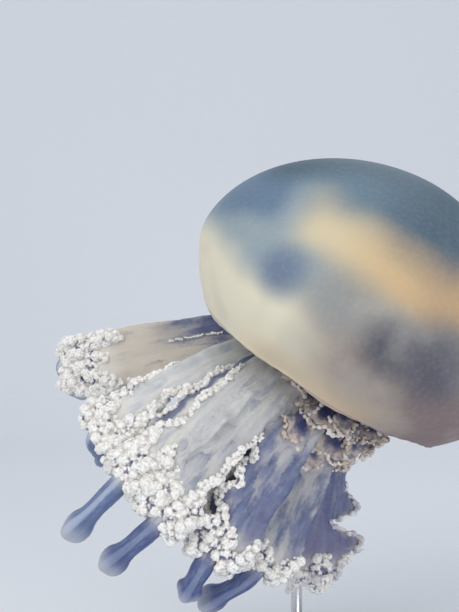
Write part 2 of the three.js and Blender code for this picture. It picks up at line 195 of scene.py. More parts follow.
# Rows of knobs along a wing's edge: how far in and aside in radii, how ruffled and how closely set.
EDGE_ROWS = ((0.5, 0, 3.4, 0.5), (0.2, 0, 1.6, 0.7), (1.15, -1, 1.2, 0.8), (1.15, 1, 1.2, 0.8))

# The lumps over an arm's end: how far apart they are across the wing, as a share, and along it, how far
# they stand off it in its middle and at its edge, how that varies, the radius that they start from, and how
# far the last ones stand past the end.
MASS = {
    "step": 0.125, "spacing": 3.8, "height": (3.8, 1.8), "ruffle": 2.2, "rough": 2.4, "least": 2.0,
    "past_end": 1.5,
}
# The curtain of knobs past an arm's end, from side to side, and the seam of granules on an arm with a veil.
FRINGE = {"sides": (-10, 36), "aside": 3.3, "step": 3.2, "lift": 11, "knob": 3.2}
SEAM = {"along": (0.45, 0.64), "count": 18, "away": 0.2, "height": 4.9, "knob": 1.7}
# How the ring is rounded where the manubrium runs into the ceiling of the hollow.
JOINT = {"radius": 56, "reach": 9, "rounds": 24, "strength": 0.6}
# The space that the flesh leaves round the stand's rod, the hole's depth and the frills' distance from it.
ROD = {"space": 2, "hole": 26, "frill_gap": 1}

# What the skin is like at a place: the share along its arm, the millimetres across it, how glassy, brown and
# white it is, how much it belongs to a club or a scapulet, and how far it lies behind the arm's face, which
# sets where shade is painted on it.
SAMPLE = ("along", "across", "glass", "tan", "white", "club", "fin", "deep")
FOLD_HEIGHT = 0.34

# The side of a knob's patch of the bake map, and the map's margin.
BAKE = {"patch": 0.003, "margin": 0.01}

# Soft dark spots of the bell, the same on its front and back: middle, reach, strength and colour.
BELL_SPOTS = [
    ((-0.076, 0.127, 0.068), 0.030, 0.95, (106, 122, 144)),
    ((-0.030, 0.142, 0.062), 0.030, 0.40, (134, 142, 146)),
    ((0.004, 0.141, 0.026), 0.040, 0.35, (128, 122, 124)),
    ((0.014, 0.149, 0.061), 0.034, 0.92, (82, 82, 94)),
    ((0.050, 0.138, 0.066), 0.048, 0.88, (78, 78, 92)),
]
SCATTER = (1.0, 0.95, 0.9)

SKIN_VOXEL = 1.7
FRILL_VOXEL = 0.65

# The studio, in metres and watts: each lamp's name, place, size, power and colour.
LAMPS = [
    ("key", (-1.1, -1.3, 1.7), 1.6, 16, (1.0, 0.98, 0.96)),
    ("fill", (0.9, -1.6, 0.55), 1.0, 9.5, (0.97, 0.98, 1.0)),
    ("back", (0.5, 1.1, 1.5), 0.9, 2, (0.9, 0.95, 1.0)),
]
LAMP_TARGET = (0, 0, 0.3)
SKY = {"colour": (236, 240, 246), "strength": 0.7}
CAMERA = {"place": (-0.082, -0.740, 0.3277), "lens": 50, "sensor": 36}
BACKDROP = {"half_width": 4, "front": -3, "wall": 1.2, "bend": 0.9, "top": 4}

# ------------------------------------------------------------------ sums


def mix(a, b, share):
    return a + (b - a) * share


def ease(share):
    share = np.clip(share, 0, 1)
    return share * share * (3 - 2 * share)


def unit(vectors):
    return vectors / np.linalg.norm(vectors, axis=-1, keepdims=True)


def dot(a, b):
    return (a * b).sum(-1, keepdims=True)


def radial(azimuth):
    """Unit vectors square to the bell's axis at azimuths in radians."""
    return np.stack([np.cos(azimuth), np.sin(azimuth), np.zeros_like(azimuth)], -1)


# ------------------------------------------------------------------ meshes


def link(name, data, place=(0, 0, 0)):
    """A new object of the scene that holds the data, at a place in metres."""
    piece = bpy.data.objects.new(name, data)
    piece.location = place
    bpy.context.scene.collection.objects.link(piece)
    return piece


def make_piece(name, points, faces):
    """A mesh object from points in millimetres in the animal's frame."""
    mesh = bpy.data.meshes.new(name)
    mesh.from_pydata((np.asarray(points) * MM).tolist(), [], faces)
    return link(name, mesh)


def make_triangles(name, points, triangles):
    """The same from many triangles, faster."""
    mesh = bpy.data.meshes.new(name)
    mesh.vertices.add(len(points))
    mesh.vertices.foreach_set("co", (points * MM).astype(np.float32).ravel())
    mesh.loops.add(triangles.size)
    mesh.loops.foreach_set("vertex_index", triangles.astype(np.int32).ravel())
    mesh.polygons.add(len(triangles))
    mesh.polygons.foreach_set("loop_start", np.arange(0, triangles.size, 3, dtype=np.int32))
    mesh.update(calc_edges=True)
    return link(name, mesh)


def joined(parts):
    """Several (points, faces) as one."""
    points, faces, count = [], [], 0
    for some_points, some_faces in parts:
        points.append(some_points)
        faces.extend([tuple(i + count for i in face) for face in some_faces])
        count += len(some_points)
    return np.concatenate(points), faces


def loft(rings):
    """Points and faces of a closed body through rings of points, (ring, point, xyz), its ends capped."""
    rings = np.asarray(rings)
    ring_count, count = rings.shape[:2]
    faces = [
        (i * count + j, i * count + (j + 1) % count, (i + 1) * count + (j + 1) % count, (i + 1) * count + j)
        for i in range(ring_count - 1)
        for j in range(count)
    ]
    faces.append(tuple(reversed(range(count))))
    faces.append(tuple(range((ring_count - 1) * count, ring_count * count)))
    return rings.reshape(-1, 3), faces


def slab(middle, thickness):
    """A closed sheet of a thickness either side of a grid of points, (row, column, xyz)."""
    normal = unit(np.cross(np.gradient(middle, axis=1), np.gradient(middle, axis=0)))
    half = normal * (thickness / 2)
    return loft(np.concatenate([middle + half, (middle - half)[:, ::-1]], axis=1))


def applied(piece, *modifiers):
    """The piece with modifiers, given as (kind, settings), run and applied."""
    for kind, settings in modifiers:
        modifier = piece.modifiers.new(kind, kind)
        for key, value in settings.items():
            setattr(modifier, key, value)
    made = bpy.data.meshes.new_from_object(piece.evaluated_get(bpy.context.evaluated_depsgraph_get()))
    piece.modifiers.clear()
    old = piece.data
    piece.data = made
    made.name = piece.name
    bpy.data.meshes.remove(old)
    return piece


def read(items, name, width=1, kind=np.float32):
    """A property of all the items of a mesh, as rows of width numbers, or flat where there is one each."""
    flat = np.empty(len(items) * width, kind)
    items.foreach_get(name, flat)
    return flat.reshape(-1, width) if width > 1 else flat


def points_of(mesh):
    return read(mesh.vertices, "co", 3).astype(float) / MM


def normals_of(mesh):
    return read(mesh.vertex_normals, "vector", 3).astype(float)


def edge_ends(mesh):
    return read(mesh.edges, "vertices", 2, np.int32).T


def shade_smooth(mesh):
    mesh.polygons.foreach_set("use_smooth", [True] * len(mesh.polygons))


def set_points(mesh, points):
    mesh.vertices.foreach_set("co", (points * MM).astype(np.float32).ravel())
    mesh.update()


def set_values(mesh, name, values):
    """Gives each point its value of a named attribute; one number stands for all of them."""
    values = np.broadcast_to(np.ravel(values), len(mesh.vertices)).astype(np.float32)
    mesh.attributes.new(name, "FLOAT", "POINT").data.foreach_set("value", values)


def averaged(points, ends):
    """Each point's neighbours' mean place."""
    a, b = ends
    count = np.bincount(a, minlength=len(points)) + np.bincount(b, minlength=len(points))
    total = np.stack([
        np.bincount(a, points[b, axis], len(points)) + np.bincount(b, points[a, axis], len(points))
        for axis in range(3)
    ], -1)
    return total / np.maximum(count, 1)[:, None]


def hollows(mesh, rounds):
    """How deep each point lies below its surroundings smoothed by a number of rounds, in millimetres."""
    points, ends = points_of(mesh), edge_ends(mesh)
    even = points
    for _ in range(rounds):
        even = averaged(even, ends)
    return dot(even - points, normals_of(mesh))[:, 0]


def search_tree(rows):
    """A tree that finds the rows nearest to a point, each of which starts with its x, y and z."""
    tree = kdtree.KDTree(len(rows))
    for i, row in enumerate(rows):
        tree.insert(row[:3], i)
    tree.balance()
    return tree


def remove(piece):
    mesh = piece.data
    bpy.data.objects.remove(piece)
    bpy.data.meshes.remove(mesh)


# ------------------------------------------------------------------ bell


def bell_outline(angle):
    """Outer radius and height at angles in radians: a quarter turn is the top, 0 the widest ring."""
    up = angle > 0
    power = np.where(up, BELL["crown_power"], BELL["skirt_power"])
    reach = np.where(up, BELL["height"] - BELL["waist"], -BELL["skirt_depth"])
    radius = BELL["radius"] * np.abs(np.cos(angle)) ** power
    return np.stack([radius, BELL["waist"] + reach * np.abs(np.sin(angle)) ** power], -1)


def skirt_angle(height):
    return -math.asin(((BELL["waist"] - height) / BELL["skirt_depth"]) ** (1 / BELL["skirt_power"]))


def hollow_outline(angle):
    """Inner radius and height at angles, the least near the rim and the greatest at the ceiling's edge."""
    up = np.sin(angle) / math.sin(CEILING_ANGLE)
    down = np.sin(angle) / math.sin(HOLLOW["rim_angle"])
    widest, waist = HOLLOW["waist_radius"], HOLLOW["waist"]
    radius = np.where(angle > 0, widest * np.cos(angle), mix(widest, HOLLOW["rim"], down**2))
    height = np.where(angle > 0, mix(waist, HOLLOW["ceiling"], up), mix(waist, HOLLOW["rim_height"], down))
    return np.stack([radius, height], -1)


def bell_profile():
    """(radius, height) from the top, round the lip and up the hollow to the middle of its ceiling."""
    crown = bell_outline(np.linspace(math.pi / 2, 0, 76))[1:]
    skirt = bell_outline(np.linspace(0, skirt_angle(RIM["height"]), 26))[1:]
    edge, lip = skirt[-1], RIM["lip"]
    turn = np.linspace(0, math.pi, 8)[1:-1]
    middle = edge - [lip / 2, 0]
    tip = middle + np.stack([np.cos(turn) * lip / 2, -np.sin(turn) * lip * RIM["droop"]], -1)
    inner = edge - [lip, 0]
    wall = hollow_outline(np.linspace(HOLLOW["rim_angle"], CEILING_ANGLE, 44))[2:]
    rise = np.linspace(0, 1, 8)[1:-1]
    sag = np.stack([-RIM["sag"] * np.sin(rise * math.pi), 0 * rise], -1)
    slope = mix(inner, wall[0], rise[:, None]) + sag
    ceiling = np.linspace(HOLLOW["ceiling_radius"], 2, 14)[1:]
    ceiling = np.stack([ceiling, np.full_like(ceiling, HOLLOW["ceiling"])], -1)
    return np.concatenate([crown, skirt, tip, [inner], slope, wall, ceiling])


def bell_ring(radius, height):
    """A ring of the bell, loose and scalloped into lappets near the rim, with furrows on its outside."""
    count = next(columns for least, columns in COLUMNS if radius > least)
    azimuth = np.arange(count) / count * TURN
    gap = 1 - np.abs(np.cos(azimuth * RIM["lappets"] / 2)) ** RIM["roundness"]
    inside = HOLLOW["rim"]
    near_rim = ease(1 - height / RIM["reach"]) * (radius > inside - 1)
    near_furrow = ease(1 - abs(height - RIM["furrow_at"]) / RIM["furrow_reach"]) * (radius > inside + 6)
    loose = ease(1 - height / RIM["sway_reach"]) * (radius > inside - 2)
    sway = RIM["sway"] * (np.sin(5 * azimuth + 0.6) + 0.7 * np.sin(9 * azimuth + 2))
    dip = RIM["dip"] * (np.sin(6 * azimuth + 1) + 0.6 * np.sin(13 * azimuth))
    ring = radial(azimuth) * (radius - RIM["furrow"] * near_furrow * gap + loose * sway)[:, None]
    ring[:, 2] = height + near_rim * gap * RIM["notch"] + loose * dip
    return ring


def bell_body():
    """Points and faces of the bell, from its top round the lip to the middle of the hollow's ceiling."""
    rings = [bell_ring(radius, height) for radius, height in bell_profile()]
    start, count = 1, len(rings[0])
    faces = [(0, start + j, start + (j + 1) % count) for j in range(count)]
    for upper, lower in zip(rings, rings[1:]):
        below = start + len(upper)
        faces += strip((start, len(upper)), (below, len(lower)))
        start, count = below, len(lower)
    faces += [(start + count, start + (j + 1) % count, start + j) for j in range(count)]
    top, ceiling = ([[0, 0, height]] for height in (BELL["height"], HOLLOW["ceiling"]))
    return np.concatenate([top, *rings, ceiling]), faces


def strip(upper, lower):
    """Faces between two rings, (first point, count), whose counts are equal or differ by a factor of two."""
    (a, a_count), (b, b_count) = upper, lower
    if a_count == b_count:
        return [(a + j, b + j, b + (j + 1) % b_count, a + (j + 1) % a_count) for j in range(a_count)]
    if a_count > b_count:
        return [tuple(reversed(face)) for face in strip(lower, upper)]
    faces = []
    for j in range(a_count):
        here, onward = a + j, a + (j + 1) % a_count
        left, middle, right = b + 2 * j, b + 2 * j + 1, b + (2 * j + 2) % b_count
        faces += [(here, left, middle), (here, middle, onward), (onward, middle, right)]
    return faces


# ------------------------------------------------------------------ manubrium and arms


def manubrium_body():
    """The column under the bell: four pillars at its top run into eight lobes, one for each arm."""
    columns, rows = 96, 50
    heights = np.linspace(MANUBRIUM[0, 0], MANUBRIUM[-1, 0], rows)
    mean, pillars, lobes = (np.interp(heights, MANUBRIUM[::-1, 0], MANUBRIUM[::-1, k]) for k in (1, 2, 3))
    azimuth = -np.arange(columns) / columns * TURN
    share = pillars[:, None] * np.cos(4 * azimuth) - lobes[:, None] * np.cos(8 * azimuth)
    radius = mean[:, None] * (1 + share)
    rings = radial(azimuth)[None] * radius[..., None]
    rings[..., 2] = heights[:, None]
    return loft(rings)


def arm_frame(arm, share):
    """Centre, way along, outward way and side way at shares of an arm's curve, each (share, xyz)."""
    t = np.atleast_1d(np.asarray(share, float))[:, None]
    root = radial(np.array(math.radians(arm["azimuth"]))) * ROOT_RADIUS
    a, b, c, d = (np.array(p, float) for p in (root, arm["bend"], arm["sweep"], arm["tip"]))
    centre = (1 - t) ** 3 * a + 3 * (1 - t) ** 2 * t * b + 3 * (1 - t) * t**2 * c + t**3 * d
    along = unit((1 - t) ** 2 * (b - a) + 2 * (1 - t) * t * (c - b) + t**2 * (d - c))
    face = np.array(arm["face"], float)
    outward = unit(face - dot(along, face) * along)
    return centre, along, outward, np.cross(along, outward)


def wing_frame(arm, wing, share):
    """Where a wing is at shares of its arm: centre, way out to its edge, way across it, its full length
    there and how far its edge waves across. Wing 0 is the left one, 1 the keel and 2 the right one."""
    share = np.atleast_1d(np.asarray(share, float))
    centre, along, outward, side = arm_frame(arm, share)
    grown = ease(share)
    past = np.maximum(0, (share - WING["rounding"]) / (1 - WING["rounding"]))
    rounding = np.sqrt(1 - (1 - WING["end_share"]) * past**2)
    lift = np.radians(mix(WING["lift_root"], WING["lift_tip"], grown))
    sign = (-1, 0, 1)[wing]
    keel, lean = arm["keel"]
    angle = np.full_like(share, math.pi - lean) if wing == 1 else sign * (math.pi / 2 - lift)
    root, tip, power = (WING["root_keel"], keel, 1) if wing == 1 else arm[("left", "", "right")[wing]]
    scallop = 1 - arm["ripple"] * ease(share * 3 - 1) * (1 + np.cos(share * 21 + wing * 2 + 2.6))
    full = mix(root, tip, share**power) * scallop
    for on_wing, at, added, half in arm["lobes"]:
        full = full + (on_wing == wing) * added * np.exp(-(((share - at) / half) ** 2))
    out = np.cos(angle)[:, None] * outward + np.sin(angle)[:, None] * side
    phase = share * WING["waves"] * TURN + wing * 2.1 + arm["azimuth"]
    wave = grown * WING["wave"] * (np.sin(phase) + 0.4 * np.sin(2.3 * phase + 1))
    return centre, out, np.cross(along, out), full * rounding, wave


def on_wing(frame, depth, aside):
    """Points at distances out along a wing and across it; frame is the wing's, from wing_frame."""
    centre, out, across, _, _ = frame
    return centre + out * np.reshape(depth, (-1, 1)) + across * np.reshape(aside, (-1, 1))


def knob_radius(arm, wing, share):
    """How large the knobs along a wing's edge are: small where they start, larger towards the arm's end."""
    grown = mix(arm["lace"][wing], 0.9, ease((share - 0.6) / 0.35))
    return KNOB["full"] * grown * mix(0.5, 1, ease((share - arm["starts"][wing]) / 0.12))


def arm_rings(arm):
    """Rings of points round the arm's three thin wings, which end inside the knobs of their edges."""
    share = np.linspace(0, 1, 72)
    reach = np.array(WING["rings_at"])
    thick = mix(WING["core"], WING["edge"], reach**0.8)
    thick[-1] = 0
    ring = []
    for wing in (2, 1, 0):
        frame = wing_frame(arm, wing, share)
        full, wave = frame[3:]
        frilled = ease((share - arm["starts"][wing] + 0.06) / 0.1)
        length = full - KNOB["recess"] * knob_radius(arm, wing, share) * frilled
        rows = [(-1, away, half) for away, half in zip(reach, thick)]
        rows += [(1, away, half) for _, away, half in rows[-2::-1]]
        ring += [on_wing(frame, length * away, wave * away**2 + side * half) for side, away, half in rows]
    return np.stack(ring, 1)


def club_rings(arm):
    """Rings of the smooth club: a three-ridged finger that widens to a blunt round end."""
    centre, along = (v[0] for v in arm_frame(arm, 1.0)[:2])
    start = centre - along * CLUB["sunk"]
    guide = centre + along * CLUB["straight"]
    tip = np.array(arm["club"], float)
    t = np.linspace(0, 1, 40)[:, None]
    middle = (1 - t) ** 2 * start + 2 * (1 - t) * t * guide + t**2 * tip
    onward = unit((1 - t) * (guide - start) + t * (tip - guide))
    face = np.array(arm["face"], float)
    out = unit(face - dot(onward, face) * onward)
    over = np.cross(onward, out)
    t = t[:, 0]
    past = np.clip(1 - (1 - t) / CLUB["end"], 0, 1)
    neck = CLUB["neck"] * np.exp(-(((t - CLUB["neck_at"]) / 0.14) ** 2))
    full = CLUB["radius"] - neck + CLUB["swell"] * ease((t - CLUB["knob_at"]) / 0.12)
    full = full * np.sqrt(1 - 0.97 * past**2.6) * (1 + 0.03 * np.sin(t * 9 + arm["azimuth"]))
    angle = np.arange(48) / 48 * TURN
    depth = mix(CLUB["ridge"], CLUB["tip_ridge"], ease((t - 0.6) / 0.25))[:, None]
    ridge = 1 + depth * np.cos(3 * angle + 0.5 * np.sin(t * 4)[:, None]) + 0.03 * np.cos(6 * angle)
    radius = (full[:, None] * ridge)[..., None]
    return middle[:, None] + radius * (
        np.cos(angle)[None, :, None] * out[:, None] + np.sin(angle)[None, :, None] * over[:, None]
    )


# ------------------------------------------------------------------ scapulets


def scapulet_points(azimuth, size, sign, reach, angle):
    """Points of a scapulet's sheet and the way across it. reach runs from its root, 0, to its edge, 1, and
    angle from top to bottom."""
    out_way = radial(np.array(azimuth))
    side_way = np.array([-out_way[1], out_way[0], 0])
    scallop = np.abs(np.sin(SCAPULET["lobes"] * angle + azimuth)) ** 0.6 - 0.7
    lobe = size * (1 + SCAPULET["lobe_depth"] * scallop * reach**3)
    edge_out = SCAPULET["root"] + lobe * SCAPULET["reach"] * np.abs(np.cos(angle)) ** SCAPULET["fullness"]
    out = mix(SCAPULET["root"] - 8, edge_out, reach)
    up = size * SCAPULET["middle"] + lobe * SCAPULET["drop"] * np.sin(angle) * mix(0.75, 1, reach)
    fold = np.sin(SCAPULET["lobes"] * angle + azimuth)
    curl = size * reach**2 * (sign * SCAPULET["lean"] * np.cos(angle) + SCAPULET["curl"] * fold)
    return out[..., None] * out_way + curl[..., None] * side_way + up[..., None] * [0, 0, 1], side_way


def scapulets(arms=ARMS):
    """(azimuth in radians, size, the side it leans to) of the two scapulets of each arm."""
    for arm in arms:
        for sign in (-1, 1):
            yield math.radians(arm["azimuth"] + sign * SCAPULET["fork"]), arm["scapulet"], sign


def scapulet_body(azimuth, size, sign):
    angle, reach = np.meshgrid(np.linspace(1.45, -1.45, 60), np.linspace(0, 1, 14), indexing="ij")
    stop = 1 - SCAPULET["frill"] / (SCAPULET["reach"] * size + 8)
    return slab(scapulet_points(azimuth, size, sign, reach * stop, angle)[0], SCAPULET["thickness"])


def petal_points(azimuth, size, sign, tier, reach, angle):
    """Points of a cupped petal: reach runs from its stem, 0, to its rim, 1, and angle from side to side."""
    out, up, aside, hang, length = tier
    out_way = radial(np.array(azimuth))
    up_way = np.array([0, 0, 1.0])
    over = np.cross(up_way, out_way)
    slope = math.radians(hang)
    down = out_way * math.cos(slope) - up_way * math.sin(slope)
    face = out_way * math.sin(slope) + up_way * math.cos(slope)
    turn = math.copysign(PETAL["turn"], sign * aside)
    across = over * math.cos(turn) + face * math.sin(turn)
    face = face * math.cos(turn) - over * math.sin(turn)
    root = out_way * mix(SCAPULET["root"], out, size) + up_way * up * size + over * sign * aside * size
    phase = PETAL["folds"] * angle + azimuth + hang
    length = size * length * (1 + PETAL["notch"] * reach * np.sin(phase * 2))
    onward = length * reach * np.cos(angle)
    aside = mix(PETAL["stem"] * size, length, reach) * np.sin(angle)
    cup = np.sin(reach * 1.7) - 1.2 * reach**3 * (angle / PETAL["spread"]) ** 2
    rise = size * (PETAL["cup"] * cup + PETAL["ruffle"] * reach**2 * np.sin(phase))
    return root + onward[..., None] * down + aside[..., None] * across + rise[..., None] * face


def petal_bodies(azimuth, size, sign):
    side = np.linspace(PETAL["spread"], -PETAL["spread"], 30)
    for tier in PETAL["tiers"]:
        stop = 1 - PETAL["frill"] / (tier[4] * size)
        angle, reach = np.meshgrid(side, np.linspace(0, stop, 10), indexing="ij")
        yield slab(petal_points(azimuth, size, sign, tier, reach, angle), PETAL["thickness"])


# ------------------------------------------------------------------ the skin


def stand_rod():
    """The rod's axis point and top in the animal's frame, and its radius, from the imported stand."""
    low, high = (np.array(corner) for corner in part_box("stand_rod"))
    middle = (low + high) / 2
    foot = SWUM.inverted() @ Vector((middle[0], middle[1], low[2]))
    top = SWUM.inverted() @ Vector((middle[0], middle[1], high[2]))
    return np.array(foot) / MM, np.array(top) / MM, (high[0] - low[0]) / 2 / MM


def rod_space(clearance):
    """A round bar round the stand's rod, which the arms and frills leave free."""
    foot, top, radius = stand_rod()
    way = (top - foot) / np.linalg.norm(top - foot)
    over = unit(np.cross(way, [0, 1, 0]))
    angle = np.arange(32)[:, None] / 32 * TURN
    ring = (radius + clearance) * (np.cos(angle) * over + np.sin(angle) * np.cross(way, over))
    end = top - way * ROD["hole"]
    return loft([foot + ring, end + ring])


def make_skin():
    """The bell, manubrium, arms, clubs and scapulets' sheets as one closed mesh."""
    bodies = [loft(arm_rings(arm)) for arm in ARMS] + [loft(club_rings(arm)) for arm in ARMS]
    bodies += [scapulet_body(*place) for place in scapulets()]
    bodies += [body for place in scapulets() for body in petal_bodies(*place)]
    limbs = make_piece("limbs", *joined([manubrium_body(), *bodies]))
    applied(
        limbs,
        ("REMESH", {"mode": "VOXEL", "voxel_size": SKIN_VOXEL * MM}),
        ("SMOOTH", {"factor": 0.5, "iterations": 5}),
    )
    bar = make_piece("bar", *rod_space(ROD["space"]))
    skin = make_piece("skin", *bell_body())
    applied(limbs, ("BOOLEAN", {"operation": "DIFFERENCE", "solver": "MANIFOLD", "object": bar}))
    applied(skin, ("BOOLEAN", {"operation": "UNION", "solver": "MANIFOLD", "object": limbs}))
    remove(bar)
    remove(limbs)
    soften_joint(skin.data)
    return skin


def soften_joint(mesh):
    """Rounds the ring where the manubrium runs into the hollow's ceiling."""
    points = points_of(mesh)
    ends = edge_ends(mesh)
    radius = np.hypot(points[:, 0], points[:, 1])
    away = np.hypot(radius - JOINT["radius"], points[:, 2] - HOLLOW["ceiling"])
    near = ease(1.6 - away / JOINT["reach"])
    for _ in range(JOINT["rounds"]):
        points += near[:, None] * JOINT["strength"] * (averaged(points, ends) - points)
    set_points(mesh, points)


def sample_rows(point, outward=(0, 0, 0), **values):
    """Rows of x, y, z, a value for each name of SAMPLE, 0 where none is given, and the way outward."""
    point = point.reshape(-1, 3)
    count = len(point)
    columns = [np.broadcast_to(np.ravel(values.get(name, 0)), count) for name in SAMPLE]
    return np.column_stack([point, *columns, np.broadcast_to(outward, (count, 3))])


def wing_samples(arm, wing, share, away):
    """Samples at shares of an arm, a share away from its middle towards a wing's edge."""
    frame = wing_frame(arm, wing, share)
    full, wave = frame[3:]
    edge = ease((away - 0.72) / 0.3) * ease((share - arm["starts"][wing] + 0.1) / 0.2)
    covered = ease((share - arm["covered"] + 0.06) / 0.12)
    veil_end = (0.66, 0.66, 0.78)[wing]
    veil = arm["veil"] * mix(0.6, 1, ease(away / 0.3)) * ease((veil_end - share) / 0.35)
    edgeward = 1 + 0.5 * (wing != 1) * ease((away - 0.3) / 0.35)
    glass = arm["glass"] * edgeward * ease((share - 0.3) / 0.35)
    return sample_rows(
        on_wing(frame, full * away, wave * away**2), arm_frame(arm, share)[2],
        along=share, across=(-1, 2.4, 1)[wing] * away * full, glass=np.maximum(glass, veil), tan=arm["tan"],
        # The keel's depth behind the arm's face, where dark shade is painted.
        white=np.clip(edge + covered, 0, 1), deep=(wing == 1) * ease(away * 2),
    )


def club_samples(arm):
    rings = club_rings(arm)[:, ::4]
    turn = np.arange(rings.shape[1]) / rings.shape[1] * TURN
    share, turn = np.meshgrid(np.linspace(0, 1, len(rings)), turn, indexing="ij")
    return sample_rows(
        rings, along=1 + 0.4 * share, across=10 * np.cos(3 * turn), glass=arm["glass"], club=ease(share * 3),
    )


def scapulet_samples(azimuth, size, sign):
    """Samples over a scapulet's sheet and over each of its petals."""
    angle, reach = np.meshgrid(np.linspace(1.4, -1.4, 16), np.linspace(0.1, 1, 7), indexing="ij")
    point, _ = scapulet_points(azimuth, size, sign, reach, angle)
    yield sample_rows(
        point, along=mix(0.2, 0.4, reach), across=20 * angle, glass=0.6,
        white=mix(0.5, 1, ease((reach - 0.72) / 0.24)), fin=ease((reach - 0.15) / 0.4),
    )
    angle, reach = np.meshgrid(np.linspace(-1.1, 1.1, 11), np.linspace(0.1, 1, 7), indexing="ij")
    white = ease((reach - 0.46) / 0.5)
    for tier in PETAL["tiers"]:
        yield sample_rows(
            petal_points(azimuth, size, sign, tier, reach, angle),
            along=mix(0.2, 0.4, reach), across=16 * angle, glass=0.6, white=white, fin=1,
        )


def manubrium_samples():
    azimuth, height = np.meshgrid(np.arange(24) / 24 * TURN, np.linspace(-20, 116, 16))
    radius = np.interp(height, MANUBRIUM[::-1, 0], MANUBRIUM[::-1, 1])
    point = radial(azimuth) * radius[..., None]
    point[..., 2] = height
    return sample_rows(point, along=-height / 200, across=40 * azimuth, tan=0.3)


def skin_samples():
    """Samples all over the flesh below the bell."""
    share = np.linspace(0, 1, 50)
    rows = []
    for arm in ARMS:
        for wing in range(3):
            rows += [wing_samples(arm, wing, share, away) for away in (0.1, 0.35, 0.6, 0.8, 0.97)]
        rows.append(club_samples(arm))
    for place in scapulets():
        rows += scapulet_samples(*place)
    return np.concatenate([*rows, manubrium_samples()])


def mixed_samples(points):
    """What the skin is like at points, mixed from the four samples nearest to each."""
    samples = skin_samples()
    tree = search_tree(samples)
    mixed = np.zeros((len(points), samples.shape[1] - 3))
    for i, point in enumerate(points):
        found = tree.find_n(point, 4)
        weight = np.array([1 / (distance + 0.5) ** 2 for _, _, distance in found])
        mixed[i] = weight @ samples[[index for _, index, _ in found], 3:] / weight.sum()
    return mixed


def below_bell(points):
    """Which points of the skin belong to the flesh in the bell's hollow or under it."""
    radius, height = np.hypot(points[:, 0], points[:, 1]), points[:, 2]
    wall = np.interp(height, [0, HOLLOW["waist"], HOLLOW["ceiling"]], [116, 119, 68])
    return (radius < wall) & (height < HOLLOW["ceiling"] - 0.5) | (height < -3)


def mark_skin(mesh):
    """Gives the skin the values its material reads, and the folds that run along the arms."""
    points, normals = points_of(mesh), normals_of(mesh)
    inside = below_bell(points)
    samples = np.zeros((len(points), len(SAMPLE) + 3))
    samples[inside] = mixed_samples(points[inside])
    values = dict(zip(SAMPLE, samples.T))
    outward = samples[:, len(SAMPLE):]
    limb = inside * ease((HOLLOW["ceiling"] - points[:, 2]) / 20)
    bare = limb * (1 - values["club"]) * (1 - values["fin"])
    # Faces turned in towards the bundle of arms, where shade is painted.
    inward_shade = 0.45 * ease(-0.2 - dot(normals, outward)[:, 0] * 1.4)
    along, across = values["along"], values["across"]
    fold = np.sin(across * 0.33 + 5 * along + 3 * values["tan"]) + 0.4 * np.sin(across * 0.8 - 7 * along)
    height = FOLD_HEIGHT * fold * bare * ease(along * 3 + 0.6)
    set_points(mesh, points + normals * height[:, None])
    # Painted shade on the keels and the faces turned inward, on bare flesh only.
    values["inner"] = np.maximum(values.pop("deep"), inward_shade) * bare
    values["limb"] = limb
    for name, value in values.items():
        set_values(mesh, name, value)


# ------------------------------------------------------------------ frills


def granular_ball(size):
    """Points and triangles of a ball of a radius in millimetres, raised into round granules."""
    ball = bmesh.new()
    bmesh.ops.create_icosphere(ball, subdivisions=4, radius=1)
    sphere = np.array([v.co for v in ball.verts])
    triangles = np.array([[v.index for v in f.verts] for f in ball.faces])
    ball.free()
    count = round(3.6 * (size / KNOB["granule"]) ** 2)
    level = 1 - 2 * (np.arange(count) + 0.5) / count
    swirl = np.arange(count) * math.pi * (3 - math.sqrt(5)) + rng.normal(0, 1 / math.sqrt(count), count)
    flat = np.sqrt(1 - level**2)
    granules = np.stack([flat * np.cos(swirl), flat * np.sin(swirl), level], -1)
    spread = KNOB["granule"] / size * rng.uniform(0.8, 1.25, count)
    angle = np.arccos(np.clip(sphere @ granules.T, -1, 1))
    rise = np.sqrt(np.maximum(0, 1 - (angle / spread) ** 2)).max(1)
    height = KNOB["height"] * KNOB["granule"]
    return sphere * (size - height + height * rise)[:, None], triangles


def knob_kinds():
    """The balls that knobs are copies of, by size, and their shared triangles."""
    balls = [[granular_ball(size) for _ in range(KNOB["kinds"])] for size in KNOB["sizes"]]
    return [[points for points, _ in row] for row in balls], balls[0][0][1]


def random_turns(count):
    """Rotation matrices, evenly spread."""
    q = unit(rng.normal(size=(count, 4)))
    w, x, y, z = q.T
    return np.stack([
        np.stack([1 - 2 * (y * y + z * z), 2 * (x * y - z * w), 2 * (x * z + y * w)], -1),
        np.stack([2 * (x * y + z * w), 1 - 2 * (x * x + z * z), 2 * (y * z - x * w)], -1),
        np.stack([2 * (x * z - y * w), 2 * (y * z + x * w), 1 - 2 * (x * x + y * y)], -1),
    ], 1)


def knob_rows(point, radius, along, across):
    """Knobs as rows of x, y, z, radius, and how far along and across an unwrap of the skin, 0 to 1."""
    count = len(point)
    ones = np.ones(count)
    return np.column_stack([point, radius * ones, along * ones, across * ones])


